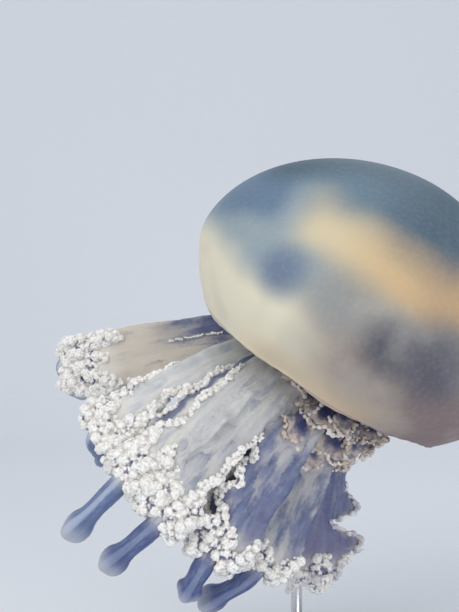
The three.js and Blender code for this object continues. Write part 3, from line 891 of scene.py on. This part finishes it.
def edge_knobs(arm, wing, length):
    """Ruffled rows of knobs along a wing's edge, small where they start and larger towards the arm's end."""
    rows = []
    start = arm["starts"][wing]
    places = np.linspace(start, 1, 200)
    gap = KNOB["spacing"] * 2 * knob_radius(arm, wing, places)
    for inset, aside, ruffle, step in EDGE_ROWS:
        pace = np.cumsum(length * (1 - start) / len(places) / (gap * step))
        share = np.interp(np.arange(0.5, pace[-1], 1), pace, places)
        share = np.clip(share + rng.normal(0, 0.8 / length, len(share)), 0, 1)
        radius = knob_radius(arm, wing, share)
        frame = wing_frame(arm, wing, share)
        full, wave = frame[3:]
        sway = np.sin(share * length / 15 * TURN + wing) + 0.4 * np.sin(share * length / 6.4 * TURN)
        offset = wave + aside * radius * 0.9 + ruffle * radius / KNOB["full"] * sway
        point = on_wing(frame, full - radius * (0.6 + inset), offset)
        radius = radius * rng.uniform(0.7, 1.1, len(share))
        rows.append(knob_rows(point + rng.normal(0, 0.35, point.shape), radius, share, (wing + 0.8) / 3))
    return np.concatenate(rows)


def mass_knobs(arm, wing, length):
    """Large lumps that cover both faces of a wing near the arm's end, and the end itself."""
    rows = []
    count = round(length * (1 - arm["covered"]) / MASS["spacing"]) + 1
    for away in np.arange(0.12, 1.0, MASS["step"]):
        for side in (-1, 1):
            start = arm["covered"] + 0.05 * math.sin(7 * away + 3 * wing + arm["azimuth"])
            share = np.minimum(start + (1 - start) * (np.arange(count) + rng.random()) / count, 1)
            grown = ease((share - start + 0.03) / 0.08)
            frame = wing_frame(arm, wing, share)
            full, wave = frame[3:]
            ruffle = MASS["ruffle"] * np.sin(share * 60 + 9 * away + 2 * wing)
            lump = mix(*MASS["height"], away) + grown * (ruffle + MASS["rough"] * rng.random(count))
            point = on_wing(frame, full * away * 0.94, wave * away**2 + side * lump)
            radius = mix(MASS["least"], KNOB["full"] * 1.1, grown) * rng.uniform(0.6, 1.2, count)
            point = point + rng.normal(0, 1.0, point.shape)
            rows.append(knob_rows(point, radius, share, (wing + 0.5 + 0.3 * side * away) / 3))
    past_end = arm_frame(arm, 1.0)[1] * MASS["past_end"]
    frame = wing_frame(arm, wing, 1.0)
    full, wave = frame[3:]
    for away in np.arange(0.04, 1, 0.11):
        point = on_wing(frame, full * away, wave * away**2) + past_end + rng.normal(0, 1.2, (1, 3))
        rows.append(knob_rows(point, KNOB["full"] * rng.uniform(0.8, 1.15), 1, (wing + away) / 3))
    return np.concatenate(rows)


def fringe_knobs(arm):
    """A low curtain of knobs that hangs past an arm's end, in front of the club's root."""
    centre, along, outward, _ = (v[0] for v in arm_frame(arm, 1.0))
    out = wing_frame(arm, 2, 1.0)[1][0]
    rows = [np.empty((0, 6))]
    aside = np.arange(*FRINGE["sides"], FRINGE["aside"])
    for depth in np.arange(2, arm["fringe"], FRINGE["step"]):
        reach = aside + rng.normal(0, 0.5, len(aside))
        lift = 2 + FRINGE["lift"] * np.exp(-((reach / 11) ** 2))
        fall = depth * (0.8 + 0.3 * np.sin(reach / 4.4))
        point = centre + reach[:, None] * out + lift[:, None] * outward + fall[:, None] * along
        radius = FRINGE["knob"] * rng.uniform(0.8, 1.15, len(reach))
        rows.append(knob_rows(point, radius, 1, 0.7 + reach / 200))
    return np.concatenate(rows)


def seam_knobs(arm):
    """A fine seam of granules over the face of an arm with a veil, near the bell."""
    if not arm["veil"]:
        return np.empty((0, 6))
    share = np.linspace(*SEAM["along"], SEAM["count"])
    centre, out, _, full, _ = wing_frame(arm, 2, share)
    lifted = centre + SEAM["height"] * arm_frame(arm, share)[2]
    point = lifted + out * (full * SEAM["away"])[:, None] + rng.normal(0, 0.4, centre.shape)
    return knob_rows(point, SEAM["knob"] * rng.uniform(0.7, 1.2, len(share)), share, 0.75)


def arm_knobs(arm):
    """The knobs of an arm's frills: ruffled rows along each wing's edge and masses over the arm's end."""
    centre = arm_frame(arm, np.linspace(0, 1, 30))[0]
    length = np.linalg.norm(np.diff(centre, axis=0), axis=1).sum()
    rows = [knobs(arm, wing, length) for wing in range(3) for knobs in (edge_knobs, mass_knobs)]
    rows = clear_of_club(np.concatenate(rows), arm)
    return clear_of_rod(np.concatenate([rows, fringe_knobs(arm), seam_knobs(arm)]))


def clear_of_rod(knobs):
    """Leaves out the knobs that would touch the stand's rod."""
    foot, top, radius = stand_rod()
    way = unit(top - foot)
    offset = knobs[:, :3] - foot
    gap = np.linalg.norm(offset - (offset @ way)[:, None] * way, axis=1) - radius - knobs[:, 3]
    return knobs[gap > ROD["frill_gap"]]


def clear_of_club(knobs, arm):
    """Leaves out the knobs that would sit on the club past its root."""
    middle = club_rings(arm)[8:].mean(1)
    distance = np.linalg.norm(knobs[:, None, :3] - middle[None], axis=2).min(1)
    return knobs[distance > CLUB["radius"] + 0.2 * knobs[:, 3]]


def scapulet_knobs(azimuth, size, sign):
    """Small knobs along the edges of a scapulet's sheet and petals."""
    angle = np.linspace(1.5, -1.5, round(34 * size))
    angle = angle + rng.normal(0, 0.012, len(angle))
    point, side_way = scapulet_points(azimuth, size, sign, np.full_like(angle, 0.99), angle)
    sway = 1.4 * np.sin(angle * 17) + 0.6 * np.sin(angle * 37 + 1)
    point = point + sway[:, None] * side_way + rng.normal(0, 0.3, point.shape)
    radius = 2.2 * rng.uniform(0.75, 1.2, len(angle))
    rows = [knob_rows(point, radius, 0.5 + angle / 3.2, azimuth / TURN % 1)]
    for tier in PETAL["tiers"]:
        spread = PETAL["spread"]
        angle = np.linspace(-spread, spread, round(PETAL["crowd"] * mix(0.3, 1, size)))
        angle = angle + rng.normal(0, 0.02, len(angle))
        point = petal_points(azimuth, size, sign, tier, np.full_like(angle, 1.01), angle)
        radius = PETAL["knob"] * rng.uniform(0.6, 1.2, len(angle)) * (1 - 0.25 * (angle / spread) ** 2)
        point = point + rng.normal(0, 0.7, point.shape)
        rows.append(knob_rows(point, radius, 0.5 + angle / 3.2, azimuth / TURN % 1))
    return np.concatenate(rows)


def make_frill(name, knobs, kinds, triangles, glass, cream):
    """One solid mesh of knobs run together, with its bake map and the values its material reads."""
    turns = random_turns(len(knobs))
    sizes = np.array(KNOB["sizes"])
    size_class = np.abs(np.log(knobs[:, 3:4] / sizes)).argmin(1)
    chosen = rng.integers(KNOB["kinds"], size=len(knobs))
    points = np.concatenate([
        knob[:3] + knob[3] / sizes[i] * kinds[i][kind] @ turn.T
        for knob, i, kind, turn in zip(knobs, size_class, chosen, turns)
    ])
    count = len(kinds[0][0])
    faces = (triangles[None] + count * np.arange(len(knobs))[:, None, None]).reshape(-1, 3)
    frill = make_triangles(name, points, faces)
    applied(
        frill,
        ("REMESH", {"mode": "VOXEL", "voxel_size": FRILL_VOXEL * MM}),
        ("SMOOTH", {"factor": 0.2, "iterations": 1}),
    )
    remove_specks(frill.data)
    mark_frill(frill.data, knobs, turns, glass, cream)
    return frill


def remove_specks(mesh):
    """Removes the bodies of a few points that remeshing leaves inside and beside the knobs."""
    a, b = edge_ends(mesh)
    body = np.arange(len(mesh.vertices))
    before = body - 1
    while (body != before).any():
        before = body.copy()
        lowest = np.minimum(before[a], before[b])
        np.minimum.at(body, before[a], lowest)
        np.minimum.at(body, before[b], lowest)
        body = body[body]
    size = np.bincount(body, minlength=len(body))[body]
    specks = np.flatnonzero(size < KNOB["speck"])
    if len(specks):
        editor = bmesh.new()
        editor.from_mesh(mesh)
        editor.verts.ensure_lookup_table()
        bmesh.ops.delete(editor, geom=[editor.verts[i] for i in specks], context="VERTS")
        editor.to_mesh(mesh)
        editor.free()


def mark_frill(mesh, knobs, turns, glass, cream):
    """Gives the frill its values and bake map. tone is each knob's own, and two values say how deep a point
    lies between the granules and between the knobs, which sets where shade is painted. A knob is a patch of
    the map at its root's place."""
    points = points_of(mesh)
    tree = search_tree(knobs)
    nearest = np.array([tree.find(point)[1] for point in points])
    values = {
        # How deep each point lies between granules and between knobs, where shade is painted.
        "tone": rng.random(len(knobs))[nearest], "crease_shade": ease((hollows(mesh, 5) + 0.22) / 0.4),
        "cleft_shade": ease((hollows(mesh, 50) + 0.6) / 1.5), "glass": glass, "cream": cream,
    }
    for name, value in values.items():
        set_values(mesh, name, value)
    corners = read(mesh.loops, "vertex_index", kind=np.int32)
    starts, totals = (read(mesh.polygons, name, kind=np.int32) for name in ("loop_start", "loop_total"))
    owner = np.repeat(nearest[corners[starts]], totals)
    local = np.einsum("nij,ni->nj", turns[owner], points[corners] - knobs[owner, :3]) / knobs[owner, 3:4]
    patch = BAKE["patch"] / 2 * np.clip(local[:, :2], -1, 1)
    place = mix(BAKE["margin"], 1 - BAKE["margin"], knobs[owner, 4:6])
    mesh.uv_layers.new(name="OFBake").data.foreach_set("uv", (place + patch).astype(np.float32).ravel())


def frill_pieces():
    """The frills of each arm and of the scapulets, one mesh each."""
    kinds, triangles = knob_kinds()
    for number, arm in enumerate(ARMS, 1):
        yield make_frill(f"arm_{number}_frills", arm_knobs(arm), kinds, triangles, arm["glass"], 0)
    for first, last in ((1, 4), (5, 6), (7, 8)):
        knobs = [scapulet_knobs(*place) for place in scapulets(ARMS[first - 1:last])]
        knobs = clear_of_rod(np.concatenate(knobs))
        yield make_frill(f"scapulets_{first}_to_{last}_frills", knobs, kinds, triangles, 0.35, 1)


# ------------------------------------------------------------------ materials


def screen(red, green, blue):
    """A colour as a screen shows it, 0 to 255, as the shader's linear one."""
    value = np.array([red, green, blue]) / 255
    linear = np.where(value <= 0.04045, value / 12.92, ((value + 0.055) / 1.055) ** 2.4)
    return (*linear.tolist(), 1.0)


class Shader:
    """A node material, with short ways to add its nodes."""

    def __init__(self, name):
        self.material = bpy.data.materials.new(name)
        self.material.use_nodes = True
        self.tree = self.material.node_tree
        self.tree.nodes.clear()

    def put(self, socket, value):
        if isinstance(value, bpy.types.NodeSocket):
            self.tree.links.new(value, socket)
        else:
            socket.default_value = value

    def add(self, kind, inputs, **settings):
        node = self.tree.nodes.new("ShaderNode" + kind)
        for key, value in settings.items():
            setattr(node, key, value)
        for key, value in inputs.items():
            self.put(node.inputs[key], value)
        return node

    def math(self, operation, a, b=0.0):
        return self.add("Math", {0: a, 1: b}, operation=operation).outputs[0]

    def times(self, first, *others):
        for other in others:
            first = self.math("MULTIPLY", first, other)
        return first

    def plus(self, a, b):
        return self.math("ADD", a, b)

    def minus(self, a, b):
        return self.math("SUBTRACT", a, b)

    def ramp(self, value, low, high, top=1.0):
        """0 where value is at low and top at high, smooth between."""
        inputs = {0: value, 1: low, 2: high, 3: 0.0, 4: top}
        return self.add("MapRange", inputs, interpolation_type="SMOOTHSTEP").outputs[0]

    def blend(self, share, colour, over):
        """colour, with over laid on it by share; either may be a screen's red, green and blue."""
        colour, over = (screen(*each) if isinstance(each, tuple) else each for each in (colour, over))
        node = self.add("Mix", {0: share, 6: colour, 7: over}, data_type="RGBA", clamp_factor=True)
        return node.outputs[2]

    def layers(self, colour, *layers):
        """colour, with each (share, colour) laid on it in turn."""
        for share, over in layers:
            colour = self.blend(share, colour, over)
        return colour

    def value(self, name):
        return self.add("Attribute", {}, attribute_name=name).outputs["Fac"]

    def room(self):
        """Places in the part's own frame, in metres."""
        return self.add("TexCoord", {}).outputs["Object"]

    def place(self):
        """Places in the animal's frame, in metres."""
        inputs = {"Vector": self.room(), "Location": SWUM.to_translation(), "Rotation": SWUM.to_euler()}
        return self.add("Mapping", inputs, vector_type="TEXTURE").outputs[0]

    def noise(self, place, scale, detail=2.0, rough=0.5):
        inputs = {"Vector": place, "Scale": scale, "Detail": detail, "Roughness": rough}
        return self.add("TexNoise", inputs).outputs["Fac"]

    def vector(self, x, y, z=0.0):
        return self.add("CombineXYZ", {0: x, 1: y, 2: z}).outputs[0]

    def lengthways(self, across, along):
        """Places for a pattern that runs along the arms, given its scales across and along them."""
        scaled = self.times(self.value("across"), across), self.times(self.value("along"), along)
        return self.vector(*scaled, self.value("tan"))

    def bump(self, height, distance, strength=1.0):
        return self.add("Bump", {"Height": height, "Distance": distance, "Strength": strength}).outputs[0]

    def finish(self, **inputs):
        """The Principled surface; a name's underscores stand for the socket's spaces."""
        named = {key.replace("_", " "): value for key, value in inputs.items()}
        surface = self.add("BsdfPrincipled", named)
        self.add("OutputMaterial", {"Surface": surface.outputs[0]})
        return self.material


def skirt_colour_with_painted_light(shader, x, z):
    """The bell's skirt: cream on its lit side, pinkish grey and darker on its shaded side, and warmer low
    down between them;
    partly its own colours, partly painted light and shade.
    """
    ramp = shader.ramp
    side = shader.plus(x, shader.times(z, 0.8))
    low = shader.times(ramp(z, 0.032, 0.004), ramp(x, -0.09, -0.05), ramp(x, 0.07, 0.0), 0.75)
    # Cream on the lit -X side and pinkish grey, then darker, on the +X side: partly the skirt's own colours,
    # partly painted light and shade.
    return shader.layers(
        (226, 219, 196),
        (ramp(side, -0.035, 0.03), (163, 149, 139)),
        (ramp(x, 0.0, 0.085), (128, 112, 112)),
        # Warm cream low on the left: partly the skirt's own tint, partly painted light on its downward
        # faces.
        (low, (222, 199, 166)),
    )


def spotted(shader, colour, x, broad, z):
    """A colour with the bell's soft dark spots laid on it."""
    place = shader.vector(x, broad, z)
    for spot, reach, strength, tint in BELL_SPOTS:
        away = shader.add("VectorMath", {0: place, 1: spot}, operation="DISTANCE").outputs["Value"]
        colour = shader.blend(shader.ramp(away, reach, reach * 0.15, strength), colour, tint)
    return colour


def bell_colour(shader, place):
    """The bell's colours: a blue-grey crown with painted shade along its top ridge, over a warm band where
    the gonads lie, on the front and back, soft dark spots round it, and the skirt, with painted light and
    shade on its sides, and its dark rim line."""
    ramp, times, noise, layers = shader.ramp, shader.times, shader.noise, shader.layers
    x, y, z = shader.add("SeparateXYZ", {0: place}).outputs
    height = shader.plus(z, times(shader.minus(noise(place, 16, 1), 0.5), 0.026))
    slant = shader.minus(height, times(x, 0.6))
    broad = shader.math("ABSOLUTE", y)
    belt = layers((146, 160, 167), (ramp(x, -0.09, -0.02), (151, 149, 143)))
    shoulder = times(ramp(slant, 0.147, 0.168), ramp(x, -0.088, -0.108))
    warm = layers(
        (208, 194, 162),
        (ramp(x, -0.07, 0.0), (199, 172, 132)),
        (ramp(x, -0.005, 0.03), (182, 155, 122)),
    )
    band = times(
        ramp(height, 0.080, 0.106), ramp(x, -0.096, -0.066), ramp(x, 0.12, 0.04), ramp(broad, 0.03, 0.09),
    )
    crown = layers((104, 127, 143), (ramp(x, -0.07, 0.01), (80, 98, 113)))
    # Painted shade: the crown darker along its top ridge.
    ridge = times(ramp(broad, 0.082, 0.035), ramp(z, 0.1, 0.13), 0.9)
    colour = layers(
        skirt_colour_with_painted_light(shader, x, z),
        (ramp(height, 0.042, 0.074), belt),
        (shoulder, (101, 124, 148)),
        (band, warm),
        (ramp(height, 0.108, 0.142), crown),
        (ridge, (66, 89, 105)),
    )
    below = ramp(z, 0.1, 0.07)
    clouds = times(ramp(noise(place, 22, 2), 0.5, 0.72, 0.2), below)
    shade = times(ramp(noise(place, 17, 1), 0.5, 0.36, 0.16), below)
    line = times(ramp(z, 0.0016, 0.0004), ramp(z, -0.004, -0.002), 0.4)
    return layers(
        spotted(shader, colour, x, broad, z),
        (clouds, (206, 202, 190)), (shade, (132, 134, 136)), (line, (110, 100, 124)),
    )


def arm_colour(shader, streaks, streak, fine):
    """The arms' colours: silky and faintly streaked, browner and darker by the bell, partly their own colour
    and partly painted shade under the bell, with blue glassy windows, lilac ends on the glassiest arms,
    partly painted shade, and painted shade on their dark inner sides."""
    ramp, times, value = shader.ramp, shader.times, shader.value
    along, tan, glass = value("along"), value("tan"), value("glass")
    blotches = shader.noise(shader.lengthways(0.12, 8.0), 1.0, 3, 0.55)
    window = ramp(shader.plus(glass, times(shader.minus(blotches, 0.5), 2.3)), 0.15, 1.0, 0.92)
    blue = shader.layers((74, 85, 128), (ramp(streak, 0.38, 0.62), (102, 113, 148)))
    # Lilac at the ends of the glassiest arms: partly their own tint, partly painted shade.
    lilac = times(ramp(glass, 0.7, 1.0), ramp(along, 0.6, 0.95), 0.6)
    patches = ramp(shader.noise(streaks, 1.9, 2), 0.54, 0.72)
    stray = times(patches, ramp(along, 0.12, 0.25), ramp(tan, 0.8, 0.4, 0.42))
    return shader.layers(
        (216, 215, 209),
        (ramp(streak, 0.36, 0.64), (193, 196, 200)),
        (times(tan, 0.9), (205, 193, 176)),
        # Browner and darker near the bell and on the manubrium: partly their own colour, partly painted
        # shade under the bell.
        (ramp(along, 0.42, 0.04, 0.85), (177, 168, 158)),
        (ramp(fine, 0.5, 0.75, 0.3), (222, 217, 208)),
        (ramp(glass, -0.1, 0.5, 0.6), (165, 163, 166)),
        (window, blue),
        (lilac, (120, 115, 143)),
        (stray, (124, 144, 172)),
        # Painted shade, dark blue, on the keels and the faces turned inward.
        (times(value("inner"), 0.85), (80, 88, 128)),
        (times(value("white"), 0.85), (222, 219, 212)),
    )


def fin_colour(shader, place, streak):
    """The scapulets' colours: dark violet sheets with a speckled brownish rim."""
    ramp, white = shader.ramp, shader.value("white")
    speckle = ramp(shader.noise(place, 210, 3), 0.42, 0.6)
    rim = shader.layers((190, 178, 168), (speckle, (138, 129, 140)))
    return shader.layers(
        (66, 72, 118),
        (ramp(streak, 0.4, 0.6), (98, 96, 128)),
        (ramp(white, 0.05, 0.6), rim),
        (ramp(white, 0.8, 1.0), (212, 202, 190)),
    )


def club_colour(shader, fine):
    """The clubs' colours: dusty blue with pale ridges, partly their own pale lines and partly a painted
    highlight, pale tips, and deeper on the partly glassy arms.
    """
    ramp, glass = shader.ramp, shader.value("glass")
    deep = shader.times(ramp(glass, 0.12, 0.28), ramp(glass, 1.0, 0.8), 0.6)
    return shader.layers(
        (100, 117, 156),
        # Pale ridges: partly the club's own pale lines, partly a painted highlight along them.
        (ramp(shader.value("across"), 0.0, 9.0), (156, 168, 192)),
        (deep, (62, 74, 128)),
        (ramp(fine, 0.4, 0.7, 0.25), (186, 192, 204)),
        (ramp(shader.value("along"), 1.3, 1.4), (184, 188, 198)),
    )


def limb_colour(shader, place):
    """The colours of all the flesh below the bell."""
    streaks = shader.lengthways(0.1, 4.0)
    streak = shader.noise(streaks, 1.4, 4, 0.6)
    fine = shader.noise(shader.lengthways(0.3, 6.0), 1.5, 2)
    return shader.layers(
        arm_colour(shader, streaks, streak, fine),
        (shader.value("fin"), fin_colour(shader, place, streak)),
        (shader.value("club"), club_colour(shader, fine)),
    )


def jelly_material():
    shader = Shader("jelly")
    place = shader.place()
    colour = shader.layers(
        bell_colour(shader, place),
        (shader.value("limb"), limb_colour(shader, place)),
        (shader.ramp(shader.noise(place, 260, 4), 0.4, 0.7, 0.04), (222, 222, 216)),
    )
    return shader.finish(
        Base_Color=colour,
        Roughness=0.5,
        Specular_IOR_Level=0.2,
        Subsurface_Weight=0.3,
        Subsurface_Scale=0.006,
        Subsurface_Radius=SCATTER,
        Normal=shader.bump(shader.noise(place, 900, 3), 0.0002, 0.25),
    )


def frill_material():
    shader = Shader("frill")
    ramp, times, noise, layers, value = shader.ramp, shader.times, shader.noise, shader.layers, shader.value
    place = shader.place()
    glass, crease_shade, cleft_shade = value("glass"), value("crease_shade"), value("cleft_shade")
    cells = shader.add("TexVoronoi", {"Vector": place, "Scale": 430.0}, feature="F1").outputs["Distance"]
    cream = layers((234, 226, 217), (ramp(noise(place, 70, 2), 0.35, 0.65), (204, 187, 174)))
    # Lilac on the glassiest arm's frills: partly their own tint, partly painted shade.
    lilac = times(ramp(glass, 0.8, 1.0, 0.7), ramp(noise(place, 45, 2), 0.4, 0.65))
    openness = shader.plus(noise(place, 110, 1), ramp(glass, 0.2, 0.3, 0.1))
    # Dark blue painted shade in the deepest gaps between knobs.
    pit_shade = times(cleft_shade, crease_shade, ramp(openness, 0.54, 0.62), 0.85)
    colour = layers(
        (251, 251, 248),
        (value("tone"), (246, 243, 236)),
        # Darker rims of the granule cells: painted shade between granules.
        (ramp(cells, 0.4, 0.8, 0.5), (205, 198, 192)),
        (value("cream"), cream),
        (lilac, (168, 164, 186)),
        # Painted shade in the creases between granules and the clefts between knobs.
        (times(crease_shade, 0.45), (196, 189, 183)),
        (times(cleft_shade, cleft_shade, 0.5), (172, 161, 156)),
        # Dark blue painted shade in the deepest gaps.
        (pit_shade, (70, 76, 116)),
    )
    return shader.finish(
        Base_Color=colour,
        Roughness=0.5,
        Specular_IOR_Level=0.3,
        Subsurface_Weight=0.2,
        Subsurface_Scale=0.003,
        Subsurface_Radius=SCATTER,
        Normal=shader.bump(shader.minus(1.0, times(cells, cells)), 0.0006, 0.7),
    )


def steel_material():
    """Satin stainless steel, its brushing turned round the axis of the stand."""
    shader = Shader("steel")
    x, y, z = shader.add("SeparateXYZ", {0: shader.room()}).outputs
    radius = shader.math("SQRT", shader.plus(shader.times(x, x), shader.times(y, y)))
    brushing = shader.noise(shader.vector(shader.times(radius, 900.0), shader.times(z, 900.0)), 1, 3)
    return shader.finish(
        Base_Color=shader.blend(brushing, (196, 198, 202), (212, 213, 216)),
        Metallic=1.0,
        Roughness=shader.ramp(brushing, 0.2, 0.8, 0.34),
        Normal=shader.bump(brushing, 0.0002, 0.3),
    )


def paper_material():
    shader = Shader("paper")
    grain = shader.noise(shader.room(), 60, 2)
    colour = shader.blend(grain, (232, 235, 240), (235, 238, 242))
    return shader.finish(Base_Color=colour, Roughness=0.9, Specular_IOR_Level=0.1)


# ------------------------------------------------------------------ stage


def make_backdrop():
    """A floor that curves up into a wall behind."""
    curve = np.linspace(0, math.pi / 2, 24)
    bend, wall, half = BACKDROP["bend"], BACKDROP["wall"], BACKDROP["half_width"]
    y = np.concatenate([[BACKDROP["front"]], wall + bend * np.sin(curve), [wall + bend]])
    z = np.concatenate([[0], bend * (1 - np.cos(curve)), [BACKDROP["top"]]])
    points = [[x, b, c] for x in (-half, half) for b, c in zip(y, z)]
    count = len(y)
    mesh = bpy.data.meshes.new("backdrop")
    mesh.from_pydata(points, [], [(i, i + count, i + 1 + count, i + 1) for i in range(count - 1)])
    shade_smooth(mesh)
    mesh.materials.append(paper_material())
    link("backdrop", mesh)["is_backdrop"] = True


def make_lamp(name, place, size, power, colour):
    lamp = bpy.data.lights.new(name, "AREA")
    lamp.shape = "DISK"
    lamp.size = size
    lamp.energy = power
    lamp.color = colour
    piece = link(name, lamp, place)
    piece.rotation_euler = (Vector(LAMP_TARGET) - piece.location).to_track_quat("-Z", "Y").to_euler()


def make_light():
    for lamp in LAMPS:
        make_lamp(*lamp)
    world = bpy.data.worlds.new("studio")
    world.use_nodes = True
    background = world.node_tree.nodes["Background"]
    background.inputs["Color"].default_value = screen(*SKY["colour"])
    background.inputs["Strength"].default_value = SKY["strength"]
    bpy.context.scene.world = world


def make_camera():
    camera = bpy.data.cameras.new("camera")
    camera.lens = CAMERA["lens"]
    camera.sensor_width = CAMERA["sensor"]
    piece = link("camera", camera, CAMERA["place"])
    piece.rotation_euler = (math.pi / 2, 0, 0)
    bpy.context.scene.camera = piece


# ------------------------------------------------------------------ the model


def dress(piece, material, slot, *nodes):
    """Places a piece of the animal, gives it its material and hides the nodes it stands for."""
    piece.data.transform(SWUM)
    shade_smooth(piece.data)
    piece.data.materials.clear()
    piece.data.materials.append(material)
    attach(piece, "root")
    if nodes:
        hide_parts(*nodes)


def make_animal():
    flesh = [node for node in frame["nodes"] if not node.startswith("stand_")]
    skin = make_skin()
    mark_skin(skin.data)
    dress(skin, jelly_material(), "jelly", *flesh)
    frill = frill_material()
    for piece in frill_pieces():
        dress(piece, frill, "frill")


def finish_stand():
    steel = steel_material()
    for node, piece in frame["nodes"].items():
        if node.startswith("stand_"):
            for slot in piece.material_slots:
                slot.material = steel


make_camera()
make_light()
make_backdrop()
finish_stand()
make_animal()
bpy.context.scene.view_settings.view_transform = "Standard"

[[list(corner) for corner in box] for box in (cad_box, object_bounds())]
